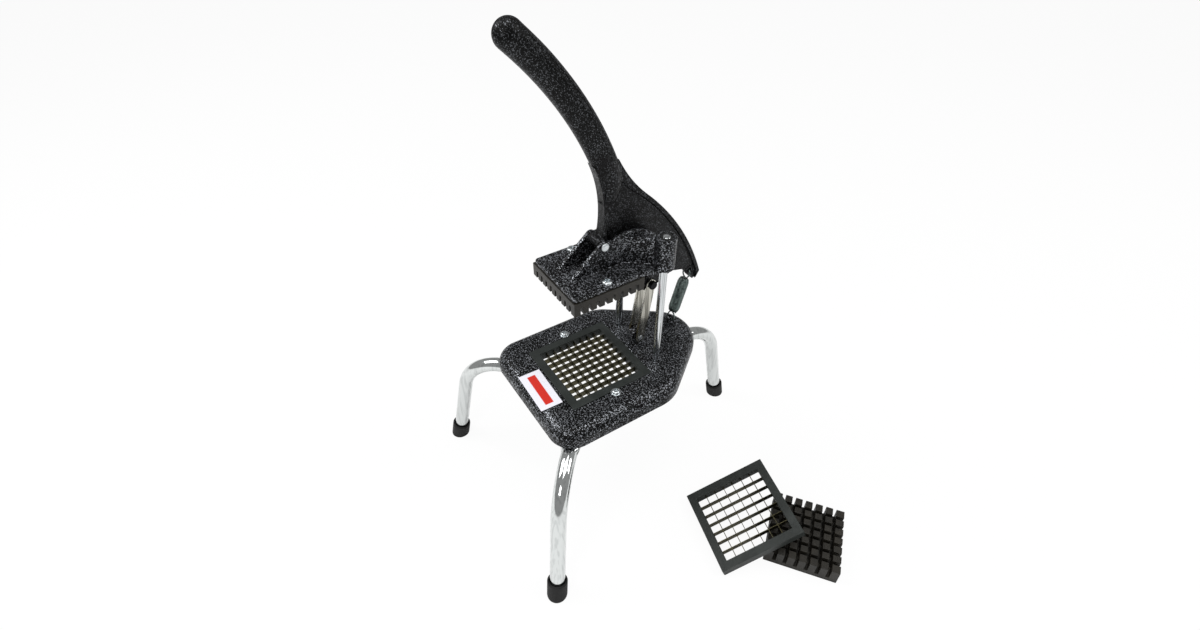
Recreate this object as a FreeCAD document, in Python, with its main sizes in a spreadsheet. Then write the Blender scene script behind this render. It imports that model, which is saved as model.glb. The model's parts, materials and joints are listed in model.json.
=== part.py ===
# French fry cutter. A cast base plate on three bent tube legs holds a knife grid in a recess. A cast carriage
# with a toothed pusher block slides on two guide rods. A long lever is hinged on the carriage and held down
# behind it by a pair of links, so that pulling the grip down drives the pusher through the grid, and a spring
# at the lever's tail lifts it again. A second grid and pusher of wider pitch stand beside it.
# Frame: X to the user's right, Y to the back, Z up, the floor at Z = 0 below the middle of the grid.
# It is drawn with the lever up.

import FreeCAD, Part
import Sketcher
import os
import re

from FreeCAD import Placement, Rotation, Vector

SIZES = {
    # How far pieces reach into each other, and cutters past a face
    "overlap": 1.0,
    # Base plate, a hollow casting with a skirt
    "plate_top": 170.0,
    "plate_depth": 20.0,
    "plate_wall": 5.0,
    "plate_half_width": 78.5,
    "plate_front": 79.0,
    "shoulder_back": 56.5,
    "plate_apex": 163.5,
    "corner_round": 26.0,
    "shoulder_round": 45.0,
    "tip_round": 42.0,
    "edge_round": 12.0,
    "boss_radius": 9.0,
    "well_wall": 4.0,
    "ledge_depth": 4.0,
    "ledge_width": 6.0,
    # Knife grid and pusher block
    "knife_side": 96.0,
    "knife_depth": 10.0,
    "knife_opening": 78.0,
    "recess_gap": 0.3,
    "fine_cells": 9.0,
    "wide_cells": 7.0,
    "blade_thickness": 0.7,
    "blade_height": 6.5,
    "blade_base": 1.0,
    "blade_seat": 3.0,
    "blade_fit": 0.05,
    "tooth_gap": 1.0,
    "wide_tooth_gap": 1.5,
    "pusher_clearance": 0.7,
    "tooth_length": 8.0,
    "wide_tooth_length": 14.0,
    "pusher_plate": 6.0,
    # Legs and their rubber feet
    "tube_radius": 8.0,
    "tube_wall": 1.5,
    "tube_drop": 0.5,
    "flat_thickness": 5.0,
    "flat_half_width": 11.0,
    "flat_reach": 12.0,
    "run_out_inset": 0.2,
    "run_out_sag": 0.6,
    "run_out_spread": 1.6,
    "run_out_pinch": 3.0,
    "bend_round": 54.0,
    "splay": 12.5,
    "leg_reach": 95.0,
    "foot_side": 126.0,
    "foot_front": 120.0,
    "foot_back": 206.0,
    "cap_radius": 10.7,
    "cap_height": 22.0,
    "cap_floor": 4.0,
    "cap_fit": 0.05,
    # Guide rods and their bushes
    "guide_x": 35.0,
    "guide_y": 63.0,
    "guide_radius": 4.0,
    "guide_top": 328.0,
    "running_fit": 0.05,
    "bush_radius": 6.0,
    "guide_nut_width": 13.0,
    "guide_nut_height": 5.0,
    # Carriage
    "carriage_bottom": 293.5,
    "carriage_floor": 4.5,
    "carriage_margin": 1.0,
    "carriage_round": 4.0,
    "guide_boss_radius": 10.0,
    "boss_height": 34.5,
    "cheek_thickness": 4.0,
    "cheek_inside": 9.0,
    "cheek_front": 27.0,
    "cheek_back": 74.0,
    "cheek_back_top": 309.0,
    "arch_front": 18.0,
    "arch_front_top": 326.0,
    "arch_round": 45.0,
    "ear_radius": 5.0,
    "web_thickness": 4.0,
    "web_top": 326.0,
    "web_start_y": 32.0,
    "slot_front": 41.0,
    "wing_step": 3.0,
    # Lever
    "pivot_y": 10.0,
    "pivot_z": 323.0,
    "pin_radius": 3.0,
    "pin_fit": 0.05,
    "pin_head_radius": 4.0,
    "pin_head_height": 1.5,
    "pin_ring_thickness": 1.0,
    "lever_boss_gap": 0.5,
    "flange_width": 12.0,
    "flange_depth": 4.0,
    "lever_web": 6.0,
    "grip_round": 340.0,
    "grip_centre_y": -307.0,
    "grip_centre_z": -55.0,
    "grip_tip_angle": 46.0,
    "grip_root_angle": 22.0,
    "grip_depth": 23.0,
    "grip_width": 20.0,
    "grip_tip_length": 11.5,
    "root_depth": 24.0,
    "neck_y": 10.0,
    "neck_z": 38.0,
    "neck_depth": 13.0,
    "window_front_inset": 10.0,
    "window_front_drop": 16.0,
    "window_saddle_inset": 3.0,
    "window_back_inset": 5.0,
    "window_back_drop": 12.0,
    "neck_front_y": -6.0,
    "neck_front_z": 76.0,
    "neck_back_y": 19.0,
    "neck_back_z": 77.0,
    "waist_front_y": 3.0,
    "waist_front_z": 10.0,
    "front_round": 120.0,
    "belly_y": 36.0,
    "belly_z": -21.0,
    "hollow_y": 92.0,
    "hollow_z": -70.0,
    "notch_y": 107.0,
    "notch_z": -74.0,
    "tail_under_y": 116.0,
    "tail_under_z": -86.0,
    "tail_tip_y": 123.0,
    "tail_tip_z": -93.0,
    "tail_back_y": 129.0,
    "tail_back_z": -82.0,
    "back_round": 300.0,
    "saddle_y": 50.0,
    "saddle_z": 36.0,
    "saddle_round": 150.0,
    "fulcrum_y": 72.0,
    "fulcrum_z": 251.0,
    "lug_radius": 10.0,
    "lug_width": 9.0,
    # Links between the lever's lug and the base
    "link_foot_y": 62.0,
    "link_foot_z": 181.0,
    "link_thickness": 3.0,
    "link_width": 11.0,
    "link_gap": 0.4,
    "link_pin_end": 0.5,
    "stud_head_radius": 4.6,
    "stud_head_height": 4.0,
    # Return spring
    "spring_foot_y": 109.0,
    "spring_foot_z": 180.0,
    "spring_head_y": 127.0,
    "spring_head_z": 244.0,
    "coil_radius": 6.5,
    "wire_radius": 0.8,
    "hook_radius": 5.0,
    "spring_lug_width": 5.0,
    "spring_lug_radius": 5.5,
    "spring_hole_radius": 2.5,
    "eye_flat_radius": 6.4,
    "turn_gap": 0.1,
    # Fasteners
    "knife_screw_gap": 3.7,
    "knife_screw_radius": 2.4,
    "knife_screw_head": 4.2,
    "knife_screw_length": 14.0,
    "washer_radius": 5.3,
    "washer_thickness": 1.0,
    "pusher_screw_x": 31.0,
    "pusher_screw_y": 1.0,
    "pusher_screw_radius": 2.4,
    "pusher_screw_head": 4.9,
    "screw_head_height": 2.6,
    "leg_bolt_radius": 3.0,
    "leg_bolt_head": 10.0,
    "leg_bolt_head_height": 4.0,
    "leg_bolt_length": 14.0,
    "thread_fit": 0.05,
    # Label on the front of the base plate
    "label_width": 53.0,
    "label_depth": 24.0,
    "label_thickness": 0.3,
    "label_x": 6.0,
    "label_gap": 2.0,
    "label_turn": -2.0,
    # The second grid and pusher block, standing beside the cutter
    "spare_pusher_x": 222.5,
    "spare_pusher_y": 141.0,
    "spare_pusher_turn": 37.0,
    "spare_edge_x": 160.0,
    "spare_edge_y": 53.5,
    "spare_knife_turn": 344.0,
    "spare_gap": 0.05,
}

# Sizes that follow from the ones above
DERIVED = {
    "plate_bottom": "plate_top - plate_depth",
    "knife_half": "knife_side / 2",
    "opening_half": "knife_opening / 2",
    "recess_half": "knife_half + recess_gap",
    "knife_bottom": "plate_top - knife_depth",
    "well_bottom": "knife_bottom - ledge_depth",
    "fine_pitch": "knife_opening / fine_cells",
    "wide_pitch": "knife_opening / wide_cells",
    "pusher_half": "knife_opening / 2 - pusher_clearance",
    "spare_height": "pusher_plate + wide_tooth_length",
    "knife_screw_x": "knife_half + knife_screw_gap",
    "tube_centre": "plate_bottom - tube_drop - tube_radius",
    "bend_end_z": "tube_centre - bend_round * (1 - sin(splay))",
    "bend_start": "leg_reach - bend_round * cos(splay) - bend_end_z * tan(splay)",
    "bend_end": "bend_start + bend_round * cos(splay)",
    "tube_end": "leg_reach - cap_floor * tan(splay)",
    "carriage_top": "carriage_bottom + carriage_floor",
    "carriage_half": "pusher_half - carriage_margin",
    "cheek_outside": "cheek_inside + cheek_thickness",
    "web_start_x": "cheek_inside + cheek_thickness / 2",
    "web_angle": "atan2(guide_y - web_start_y; guide_x - web_start_x)",
    "web_length": "sqrt((guide_x - web_start_x)^2 + (guide_y - web_start_y)^2)",
    "window_back_y": "pivot_y + tail_back_y - window_back_inset",
    "grip_axis_y": "pivot_y + grip_centre_y",
    "grip_axis_z": "pivot_z + grip_centre_z",
    "link_length": "sqrt((fulcrum_y - link_foot_y)^2 + (fulcrum_z - link_foot_z)^2)",
    "link_tilt": "atan2(fulcrum_y - link_foot_y; fulcrum_z - link_foot_z)",
    "link_inside": "lug_width / 2 + link_gap",
    "link_outside": "link_inside + link_thickness",
    "spring_length": "sqrt((spring_head_y - spring_foot_y)^2 + (spring_head_z - spring_foot_z)^2)",
    "spring_tilt": "atan2(spring_head_y - spring_foot_y; spring_head_z - spring_foot_z)",
    "hook_height": "2 * hook_radius + wire_radius",
    "turn_start": "hook_height + turn_gap",
    "coil_start": "turn_start + 2 * wire_radius",
    "coil_end": "spring_length - hook_height",
    "spare_skew": "spare_pusher_turn - spare_knife_turn",
    "spare_reach": "(spare_pusher_y - spare_edge_y) * cos(spare_knife_turn)"
                   " - (spare_pusher_x - spare_edge_x) * sin(spare_knife_turn)",
    "spare_corner": "spare_reach - pusher_half * (abs(cos(spare_skew)) + abs(sin(spare_skew)))",
    "knife_tilt": "atan2(spare_height + spare_gap; spare_corner)",
}

# How many equal spans the grip is lofted over
GRIP_SPANS = 6

# How near two numbers are that count as the same, in mm
CLOSE = 0.01

AXES = {
    "x": Rotation(Vector(0, 1, 0), 90),
    "y": Rotation(Vector(1, 0, 0), -90),
    "z": Rotation(),
}

doc = FreeCAD.newDocument("french_fry_cutter")
sheet = doc.addObject("Spreadsheet::Sheet", "Sizes")
nodes = []


def fill_sheet():
    """One cell for each driving size, with the size's name as its alias."""
    for row, (name, size) in enumerate(SIZES.items(), start=1):
        sheet.set(f"A{row}", name)
        sheet.set(f"B{row}", str(size))
        sheet.setAlias(f"B{row}", name)
    doc.recompute()


def expand(text):
    """The expression with each size turned into its cell, and each derived size into its own expression."""

    def swap(match):
        word = match.group(0)
        if word in SIZES:
            return "Sizes." + word
        if word in DERIVED:
            return "(" + expand(DERIVED[word]) + ")"
        return word

    return re.sub(r"[a-z][a-z_0-9]*", swap, text)


def value(text):
    """The number that an expression gives."""
    result = sheet.evalExpression(expand(text))
    return float(getattr(result, "Value", result))


def bind(thing, prop, text):
    thing.setExpression(prop, expand(text))


def place(thing, x="0", y="0", z="0", turn=None, about=Vector(0, 0, 1)):
    """Binds where a thing stands, and how far it turns about one axis."""
    if turn is not None:
        thing.Placement = Placement(Vector(), Rotation(about, value(turn)))
        bind(thing, "Placement.Rotation.Angle", turn)
    for axis, text in zip("xyz", (x, y, z)):
        bind(thing, f"Placement.Base.{axis}", text)
    return thing


def node(thing, label):
    """Names a finished sub-part."""
    thing.Label = label
    nodes.append(thing)
    return thing


# Solids and booleans of the Part workbench


def block(name, x, y, z):
    """A box between the low and high end given for each axis."""
    solid = doc.addObject("Part::Box", name)
    for side, axis, (low, high) in zip(("Length", "Width", "Height"), "xyz", (x, y, z)):
        bind(solid, side, f"({high}) - ({low})")
        bind(solid, f"Placement.Base.{axis}", low)
    return solid


def post(name, radius, height, x="0", y="0", z="0", along="z"):
    """A cylinder that starts at a point and runs along one axis."""
    solid = doc.addObject("Part::Cylinder", name)
    solid.Placement = Placement(Vector(), AXES[along])
    bind(solid, "Radius", radius)
    bind(solid, "Height", height)
    return place(solid, x, y, z)


def cross_post(name, radius, half_length, y, z):
    """A cylinder along X, centred on the middle plane."""
    return post(name, radius, f"2 * ({half_length})", f"-({half_length})", y, z, along="x")


def hexagon(name, width, height, x="0", y="0", z="0"):
    """A hexagonal prism along Z, of a width across its flats."""
    solid = doc.addObject("Part::Prism", name)
    solid.Polygon = 6
    bind(solid, "Circumradius", f"({width}) / (2 * cos(30))")
    bind(solid, "Height", height)
    return place(solid, x, y, z)


def group(name, pieces):
    compound = doc.addObject("Part::Compound", name)
    compound.Links = pieces
    return compound


def fuse(name, *pieces, refine=True):
    union = doc.addObject("Part::MultiFuse", name)
    union.Shapes = list(pieces)
    union.Refine = refine
    return union


def cut(name, base, *tools, refine=True):
    """The base less each tool in turn."""
    for count, tool in enumerate(tools):
        step = doc.addObject("Part::Cut", name if count == len(tools) - 1 else f"{name}_step")
        step.Base = base
        step.Tool = tool
        step.Refine = refine
        base = step
    return base


# Bodies and sketches of the PartDesign workbench


def new_body(name):
    return doc.addObject("PartDesign::Body", name)


def origin_plane(body, role):
    return next(item for item in body.Origin.OriginFeatures if item.Role == role)


def new_sketch(body, role, name, offset="0"):
    """A sketch on one of the body's own origin planes, moved along the plane's normal."""
    sketch = body.newObject("Sketcher::SketchObject", name)
    sketch.AttachmentSupport = [(origin_plane(body, role), "")]
    sketch.MapMode = "FlatFace"
    bind(sketch, "AttachmentOffset.Base.z", offset)
    return sketch


def fix(sketch, kind, datum, *where):
    """Adds a constraint whose datum follows an expression."""
    index = sketch.addConstraint(Sketcher.Constraint(kind, *where, value(datum)))
    bind(sketch, f"Constraints[{index}]", datum)


def arc_between(start, end, radius, left):
    """The arc from start to end whose centre lies to the left or right of the way there."""
    chord = end - start
    reach = (radius**2 - (chord.Length / 2) ** 2) ** 0.5
    normal = Vector(-chord.y, chord.x, 0).normalize() * (reach if left else -reach)
    centre = start + chord * 0.5 + normal
    first, last = (start, end) if left else (end, start)
    ahead = Vector(1, 0, 0)
    angles = [
        (spot - centre).getAngle(ahead) * (1 if spot.y >= centre.y else -1) for spot in (first, last)
    ]
    return Part.ArcOfCircle(Part.Circle(centre, Vector(0, 0, 1), radius), *angles)


def outline(sketch, corners, arcs=None):
    """A closed outline through corners given as pairs of expressions. arcs gives the radius of the sides that
    are arcs, by the number of the corner where they start, and whether the arc's centre is on their left."""
    arcs = arcs or {}
    points = [Vector(value(x), value(y), 0) for x, y in corners]
    sides = []
    for count, start in enumerate(points):
        end = points[(count + 1) % len(points)]
        if count in arcs:
            radius, left = arcs[count]
            side = sketch.addGeometry(arc_between(start, end, value(radius), left))
            fix(sketch, "Radius", radius, side)
            sides.append((side, 1, 2) if left else (side, 2, 1))
        else:
            sides.append((sketch.addGeometry(Part.LineSegment(start, end)), 1, 2))
    for count, (side, start, _) in enumerate(sides):
        before, _, end = sides[count - 1]
        sketch.addConstraint(Sketcher.Constraint("Coincident", before, end, side, start))
        fix(sketch, "DistanceX", corners[count][0], -1, 1, side, start)
        fix(sketch, "DistanceY", corners[count][1], -1, 1, side, start)


def pad(body, sketch, name, length, symmetric=False):
    feature = body.newObject("PartDesign::Pad", name)
    feature.Profile = sketch
    if symmetric:
        feature.SideType = "Symmetric"
    bind(feature, "Length", length)
    doc.recompute()
    return feature


def round_edges(body, base, name, radius, chosen):
    """A fillet on the base's edges that the test picks."""
    feature = body.newObject("PartDesign::Fillet", name)
    edges = [f"Edge{count}" for count, edge in enumerate(base.Shape.Edges, start=1) if chosen(edge)]
    feature.Base = (base, edges)
    bind(feature, "Radius", radius)
    doc.recompute()
    return feature


def upright_at(x, y):
    """Picks the upright edges at a point, and the ones mirrored across the middle."""

    def chosen(edge):
        start, end = edge.Vertexes[0].Point, edge.Vertexes[-1].Point
        upright = abs(start.x - end.x) < CLOSE and abs(start.y - end.y) < CLOSE
        upright = upright and abs(start.z - end.z) > CLOSE
        return upright and abs(abs(start.x) - abs(value(x))) < CLOSE and abs(start.y - value(y)) < CLOSE

    return chosen


def level_at(z):
    """Picks the edges that lie at a height."""

    def chosen(edge):
        return abs(edge.BoundBox.ZMin - value(z)) < CLOSE and abs(edge.BoundBox.ZMax - value(z)) < CLOSE

    return chosen


# Base


def plate_shell():
    """The plate with rounded corners and a pillowed edge, hollow below."""
    body = new_body("PlateShell")
    sketch = new_sketch(body, "XY_Plane", "PlateOutline", "plate_bottom")
    side, front, shoulder = "plate_half_width", "-plate_front", "shoulder_back"
    outline(sketch, [(f"-{side}", front), (side, front), (side, shoulder), ("0", "plate_apex"),
                     (f"-{side}", shoulder)])
    plate = pad(body, sketch, "Plate", "plate_depth")
    plate = round_edges(body, plate, "FrontCorners", "corner_round", upright_at(side, front))
    plate = round_edges(body, plate, "Shoulders", "shoulder_round", upright_at(side, shoulder))
    plate = round_edges(body, plate, "Tip", "tip_round", upright_at("0", "plate_apex"))
    plate = round_edges(body, plate, "TopEdge", "edge_round", level_at("plate_top"))
    hollow = body.newObject("PartDesign::Thickness", "Hollow")
    bottom = next(
        count for count, face in enumerate(plate.Shape.Faces, start=1)
        if face.BoundBox.ZMax < value("plate_bottom") + CLOSE
    )
    hollow.Base = (plate, [f"Face{bottom}"])
    hollow.Reversed = True
    bind(hollow, "Value", "plate_wall")
    doc.recompute()
    return body


def leg_spots():
    """Name, bolt place and direction of each leg. All three reach equally far from bolt to foot."""
    diagonal = "sqrt((foot_side)^2 + (foot_front)^2)"
    along_x = f"foot_side / {diagonal}"
    along_y = f"foot_front / {diagonal}"
    angle = "atan2(foot_front; foot_side)"
    return (
        ("front_right", f"foot_side - leg_reach * {along_x}", f"-foot_front + leg_reach * {along_y}",
         f"360 deg - {angle}"),
        ("front_left", f"-foot_side + leg_reach * {along_x}", f"-foot_front + leg_reach * {along_y}",
         f"180 deg + {angle}"),
        ("rear", "0", "foot_back - leg_reach", "90"),
    )


def base_plate():
    """The shell with the grid's well, the bosses below it and the lugs for the links and the spring."""
    inside_top = "plate_top - plate_wall / 2"
    well_half = "recess_half + well_wall"
    pieces = [
        plate_shell(),
        block("Well", (f"-({well_half})", well_half), (f"-({well_half})", well_half),
              ("well_bottom", inside_top)),
        block("LinkLugFoot", ("-lug_width / 2", "lug_width / 2"),
              ("link_foot_y - boss_radius", "link_foot_y + boss_radius"),
              (inside_top, "link_foot_z")),
        cross_post("LinkLugTop", "boss_radius", "lug_width / 2", "link_foot_y", "link_foot_z"),
        block("SpringLugFoot", ("-spring_lug_width / 2", "spring_lug_width / 2"),
              ("spring_foot_y - spring_lug_radius", "spring_foot_y + spring_lug_radius"),
              (inside_top, "spring_foot_z")),
        cross_post("SpringLugTop", "spring_lug_radius", "spring_lug_width / 2", "spring_foot_y",
                   "spring_foot_z"),
    ]
    holes = [
        block("Recess", ("-recess_half", "recess_half"), ("-recess_half", "recess_half"),
              ("knife_bottom", "plate_top + overlap")),
        block("DropOpening", ("-recess_half + ledge_width", "recess_half - ledge_width"),
              ("-recess_half + ledge_width", "recess_half - ledge_width"),
              ("well_bottom - overlap", "plate_top + overlap")),
        cross_post("LinkPinHole", "pin_radius + thread_fit", "lug_width", "link_foot_y", "link_foot_z"),
        cross_post("SpringHole", "spring_hole_radius", "spring_lug_width", "spring_foot_y", "spring_foot_z"),
    ]
    for side, sign in (("Right", ""), ("Left", "-")):
        pieces.append(post(f"GuideBoss{side}", "boss_radius", f"({inside_top}) - well_bottom",
                           f"{sign}guide_x", "guide_y", "well_bottom"))
        holes.append(post(f"GuideHole{side}", "guide_radius + thread_fit", "plate_depth + 2 * overlap",
                          f"{sign}guide_x", "guide_y", "plate_bottom - overlap"))
        pieces.append(post(f"ScrewBoss{side}", "boss_radius", f"({inside_top}) - well_bottom",
                           f"{sign}(knife_screw_x + knife_screw_gap)", "0", "well_bottom"))
        holes.append(post(f"ScrewHole{side}", "knife_screw_radius + thread_fit",
                          "plate_depth + 2 * overlap", f"{sign}knife_screw_x", "0",
                          "plate_bottom - overlap"))
    for name, x, y, _ in leg_spots():
        pieces.append(post(f"LegBoss_{name}", "flat_half_width", f"({inside_top}) - plate_bottom", x, y,
                           "plate_bottom"))
        holes.append(post(f"LegHole_{name}", "leg_bolt_radius + thread_fit", "leg_bolt_length + overlap", x,
                          y, "plate_bottom - overlap"))
    node(cut("BasePlate", fuse("BaseCasting", *pieces), *holes), "base_plate")


def leg_path(name):
    """The tube's centre line in the leg's own frame: from the plate, round the bend and down to the foot."""
    path = doc.addObject("Sketcher::SketchObject", f"{name}_path")
    path.Placement = Placement(Vector(), Rotation(Vector(1, 0, 0), 90))
    start = Vector(value("bend_start"), value("tube_centre"), 0)
    middle = Vector(value("bend_end"), value("bend_end_z"), 0)
    end = Vector(value("tube_end"), value("cap_floor"), 0)
    bend = path.addGeometry(arc_between(start, middle, value("bend_round"), False))
    shin = path.addGeometry(Part.LineSegment(middle, end))
    path.addConstraint(Sketcher.Constraint("Coincident", bend, 1, shin, 1))
    fix(path, "Radius", "bend_round", bend)
    fix(path, "DistanceX", "bend_start", -1, 1, bend, 2)
    fix(path, "DistanceY", "tube_centre", -1, 1, bend, 2)
    fix(path, "DistanceX", "bend_end", -1, 1, bend, 1)
    fix(path, "DistanceY", "bend_end_z", -1, 1, bend, 1)
    fix(path, "DistanceX", "tube_end", -1, 1, shin, 2)
    fix(path, "DistanceY", "cap_floor", -1, 1, shin, 2)
    return path


def tube_sweep(name, path, radius):
    """A round bar along the leg's path."""
    section = doc.addObject("Part::Circle", f"{name}_section")
    section.Placement = Placement(Vector(), AXES["x"])
    bind(section, "Radius", radius)
    place(section, "bend_start", "0", "tube_centre")
    sweep = doc.addObject("Part::Sweep", name)
    sweep.Sections = [section]
    doc.recompute()
    sweep.Spine = (path, [f"Edge{count + 1}" for count in range(len(path.Shape.Edges))])
    sweep.Solid = True
    return sweep


def flat_end(name):
    """The tube's pressed end, which is bolted below the plate, and its run-out to the round tube."""
    middle = "plate_bottom - flat_thickness / 2"
    tongue = fuse(
        f"{name}_tongue",
        post(f"{name}_tip", "flat_half_width", "flat_thickness", z="plate_bottom - flat_thickness"),
        block(f"{name}_slab", ("0", "flat_reach"), ("-flat_half_width", "flat_half_width"),
              ("plate_bottom - flat_thickness", "plate_bottom")),
    )
    sections = []
    for place_x, height, wide, thick in (
        ("flat_reach - overlap", middle, "flat_half_width - run_out_inset",
         "flat_thickness / 2 - run_out_inset"),
        ("(flat_reach + bend_start) / 2", f"({middle} + tube_centre) / 2 - run_out_sag",
         "tube_radius + run_out_spread",
         "tube_radius - run_out_pinch"),
        ("bend_start + 2 * overlap", "tube_centre - run_out_inset", "tube_radius - run_out_inset",
         "tube_radius - run_out_inset"),
    ):
        section = doc.addObject("Part::Ellipse", f"{name}_ellipse")
        section.Placement = Placement(Vector(), Rotation(Vector(1, 1, 1), 120))
        bind(section, "MajorRadius", wide)
        bind(section, "MinorRadius", thick)
        sections.append(place(section, place_x, "0", height))
    run_out = doc.addObject("Part::Loft", f"{name}_run_out")
    run_out.Sections = sections
    run_out.Solid = True
    return fuse(f"{name}_flat", tongue, run_out)


def leg(name, x, y, turn):
    """One bent tube, in a frame with its bolt at the origin and its foot along +X, then set in its place."""
    part = f"leg_{name}"
    path = leg_path(part)
    outer = fuse(f"{part}_solid", tube_sweep(f"{part}_outside", path, "tube_radius"), flat_end(part))
    bore = tube_sweep(f"{part}_inside", path, "tube_radius - tube_wall")
    hole = post(f"{part}_hole", "leg_bolt_radius + thread_fit", "flat_thickness + 2 * overlap",
                z="plate_bottom - flat_thickness - overlap")
    node(place(cut(f"{part}_tube", outer, bore, hole), x, y, "0", turn), part)


def foot(name, x, y, turn):
    """A rubber cap on the tube's end, flat where it stands on the floor."""
    part = f"foot_{name}"
    pieces = []
    for piece, radius, start, length in (
        ("outside", "cap_radius", "-cap_floor", "cap_height + cap_floor"),
        ("bore", "tube_radius + cap_fit", "cap_floor / cos(splay)", "cap_height + cap_floor"),
    ):
        solid = doc.addObject("Part::Cylinder", f"{part}_{piece}")
        bind(solid, "Radius", radius)
        bind(solid, "Height", length)
        pieces.append(place(solid, f"leg_reach - ({start}) * sin(splay)", "0", f"({start}) * cos(splay)",
                            "splay",
                            Vector(0, -1, 0)))
    below = block(f"{part}_below", ("leg_reach - 2 * cap_radius", "leg_reach + 2 * cap_radius"),
                  ("-2 * cap_radius", "2 * cap_radius"), ("-3 * cap_floor", "0"))
    node(place(cut(f"{part}_cap", pieces[0], pieces[1], below), x, y, "0", turn), part)


def guide_rods():
    """The two ground rods that the carriage slides on, and the nuts that hold them below the plate."""
    nuts = []
    for side, sign in (("right", ""), ("left", "-")):
        rod = post(f"guide_{side}", "guide_radius", "guide_top - plate_bottom", f"{sign}guide_x", "guide_y",
                   "plate_bottom")
        node(rod, f"guide_rod_{side}")
        bottom = "well_bottom - guide_nut_height"
        nut = hexagon(f"guide_nut_{side}", "guide_nut_width", "guide_nut_height", f"{sign}guide_x",
                      "guide_y", bottom)
        bore = post(f"guide_nut_bore_{side}", "guide_radius + thread_fit", "guide_nut_height + 2 * overlap",
                    f"{sign}guide_x",
                    "guide_y", f"{bottom} - overlap")
        nuts.append(cut(f"guide_nut_cut_{side}", nut, bore))
    node(group("GuideNuts", nuts), "guide_rod_nuts")


# Knife grids and pusher blocks


def knife_set(prefix, cells, base):
    """A square plastic frame at the height base, with blades both ways that are slotted into each other."""
    pitch = f"(knife_opening / {cells})"
    count = int(value(cells)) - 1
    half, low = "knife_half", f"({base} + blade_base)"
    middle = f"({low} + blade_height / 2)"
    reach = "(opening_half + blade_seat)"

    def across(name, spot, spread, start, end, along_y, length):
        """A thin upright slab, centred on spot, along one axis or the other."""
        thin = (f"{spot} - ({spread})", f"{spot} + ({spread})")
        long = (f"-({length})", length)
        return block(name, thin if along_y else long, long if along_y else thin, (start, end))

    spots = [f"((-{cells} / 2 + {number}) * {pitch})" for number in range(1, count + 1)]
    fit = "blade_thickness / 2 + blade_fit"
    sets = {}
    for way, along_y, slot_low, slot_high in (
        ("lengthwise", True, f"{middle} - blade_fit", f"{low} + blade_height + overlap"),
        ("crosswise", False, f"{low} - overlap", f"{middle} + blade_fit"),
    ):
        name = f"{prefix}_{way}"
        blades = [across(f"{name}_blade", spot, "blade_thickness / 2", low, f"{low} + blade_height",
                         along_y, reach)
                  for spot in spots]
        slots = [across(f"{name}_slot", spot, fit, slot_low, slot_high, not along_y,
                        "knife_half") for spot in spots]
        sets[way] = cut(f"{name}_blades", group(f"{name}_all", blades), group(f"{name}_slots", slots))
    frame = block(f"{prefix}_outside", (f"-{half}", half), (f"-{half}", half),
                  (base, f"{base} + knife_depth"))
    opening = block(f"{prefix}_opening", ("-opening_half", "opening_half"), ("-opening_half", "opening_half"),
                    (f"{base} - overlap", f"{base} + knife_depth + overlap"))
    seats = [
        group(f"{prefix}_seats_{along_y}", [across(f"{prefix}_seat", spot, fit, f"{low} - blade_fit",
              f"{low} + blade_height + blade_fit", along_y, f"{reach} + blade_fit") for spot in spots])
        for along_y in (True, False)
    ]
    return cut(f"{prefix}_frame", frame, opening, *seats), sets["lengthwise"], sets["crosswise"]


def pusher(prefix, cells, bottom, teeth, gap):
    """A square plastic block with one tooth for each cell of the grid, its teeth down."""
    pitch = f"(knife_opening / {cells})"
    count = int(value(cells)) - 1
    half = "pusher_half"
    reach = f"(blade_thickness / 2 + {gap})"
    top = f"{bottom} + {teeth} + pusher_plate"
    solid = block(f"{prefix}_block", (f"-{half}", half), (f"-{half}", half), (bottom, top))
    grooves = []
    for along_y in (True, False):
        row = []
        for number in range(1, count + 1):
            spot = f"((-{cells} / 2 + {number}) * {pitch})"
            thin = (f"{spot} - {reach}", f"{spot} + {reach}")
            long = ("-knife_half", "knife_half")
            row.append(block(f"{prefix}_groove", thin if along_y else long, long if along_y else thin,
                             (f"{bottom} - overlap", f"{bottom} + {teeth}")))
        grooves.append(group(f"{prefix}_grooves", row))
    return cut(f"{prefix}_teeth", solid, *grooves)


def mounted_knives():
    frame, lengthwise, crosswise = knife_set("fine", "fine_cells", "knife_bottom")
    node(frame, "knife_frame")
    node(lengthwise, "blades_lengthwise")
    node(crosswise, "blades_crosswise")


def knife_screws():
    """Two pan-head screws whose washers hold the grid down in its recess."""
    screws, washers = [], []
    seat = "plate_top + washer_thickness"
    for side, sign in (("right", ""), ("left", "-")):
        at = (f"{sign}knife_screw_x", "0")
        screws.append(fuse(
            f"knife_screw_{side}",
            post(f"knife_screw_shank_{side}", "knife_screw_radius", "knife_screw_length", *at,
                 f"{seat} - knife_screw_length"),
            post(f"knife_screw_head_{side}", "knife_screw_head", "screw_head_height", *at, seat),
        ))
        washers.append(cut(
            f"knife_washer_{side}",
            post(f"knife_washer_disc_{side}", "washer_radius", "washer_thickness", *at, "plate_top"),
            post(f"knife_washer_bore_{side}", "knife_screw_radius + thread_fit",
                 "washer_thickness + 2 * overlap", *at, "plate_top - overlap"),
        ))
    node(group("KnifeScrews", screws), "knife_frame_screws")
    node(group("KnifeWashers", washers), "knife_frame_washers")


def leg_bolts():
    """The hexagon bolts that hold the pressed leg ends up against the plate's bosses."""
    bolts = []
    seat = "plate_bottom - flat_thickness"
    for name, x, y, _ in leg_spots():
        bolts.append(fuse(
            f"leg_bolt_{name}",
            post(f"leg_bolt_shank_{name}", "leg_bolt_radius", "leg_bolt_length", x, y, seat),
            hexagon(f"leg_bolt_head_{name}", "leg_bolt_head", "leg_bolt_head_height", x, y,
                    f"{seat} - leg_bolt_head_height"),
        ))
    node(group("LegBolts", bolts), "leg_bolts")


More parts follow.
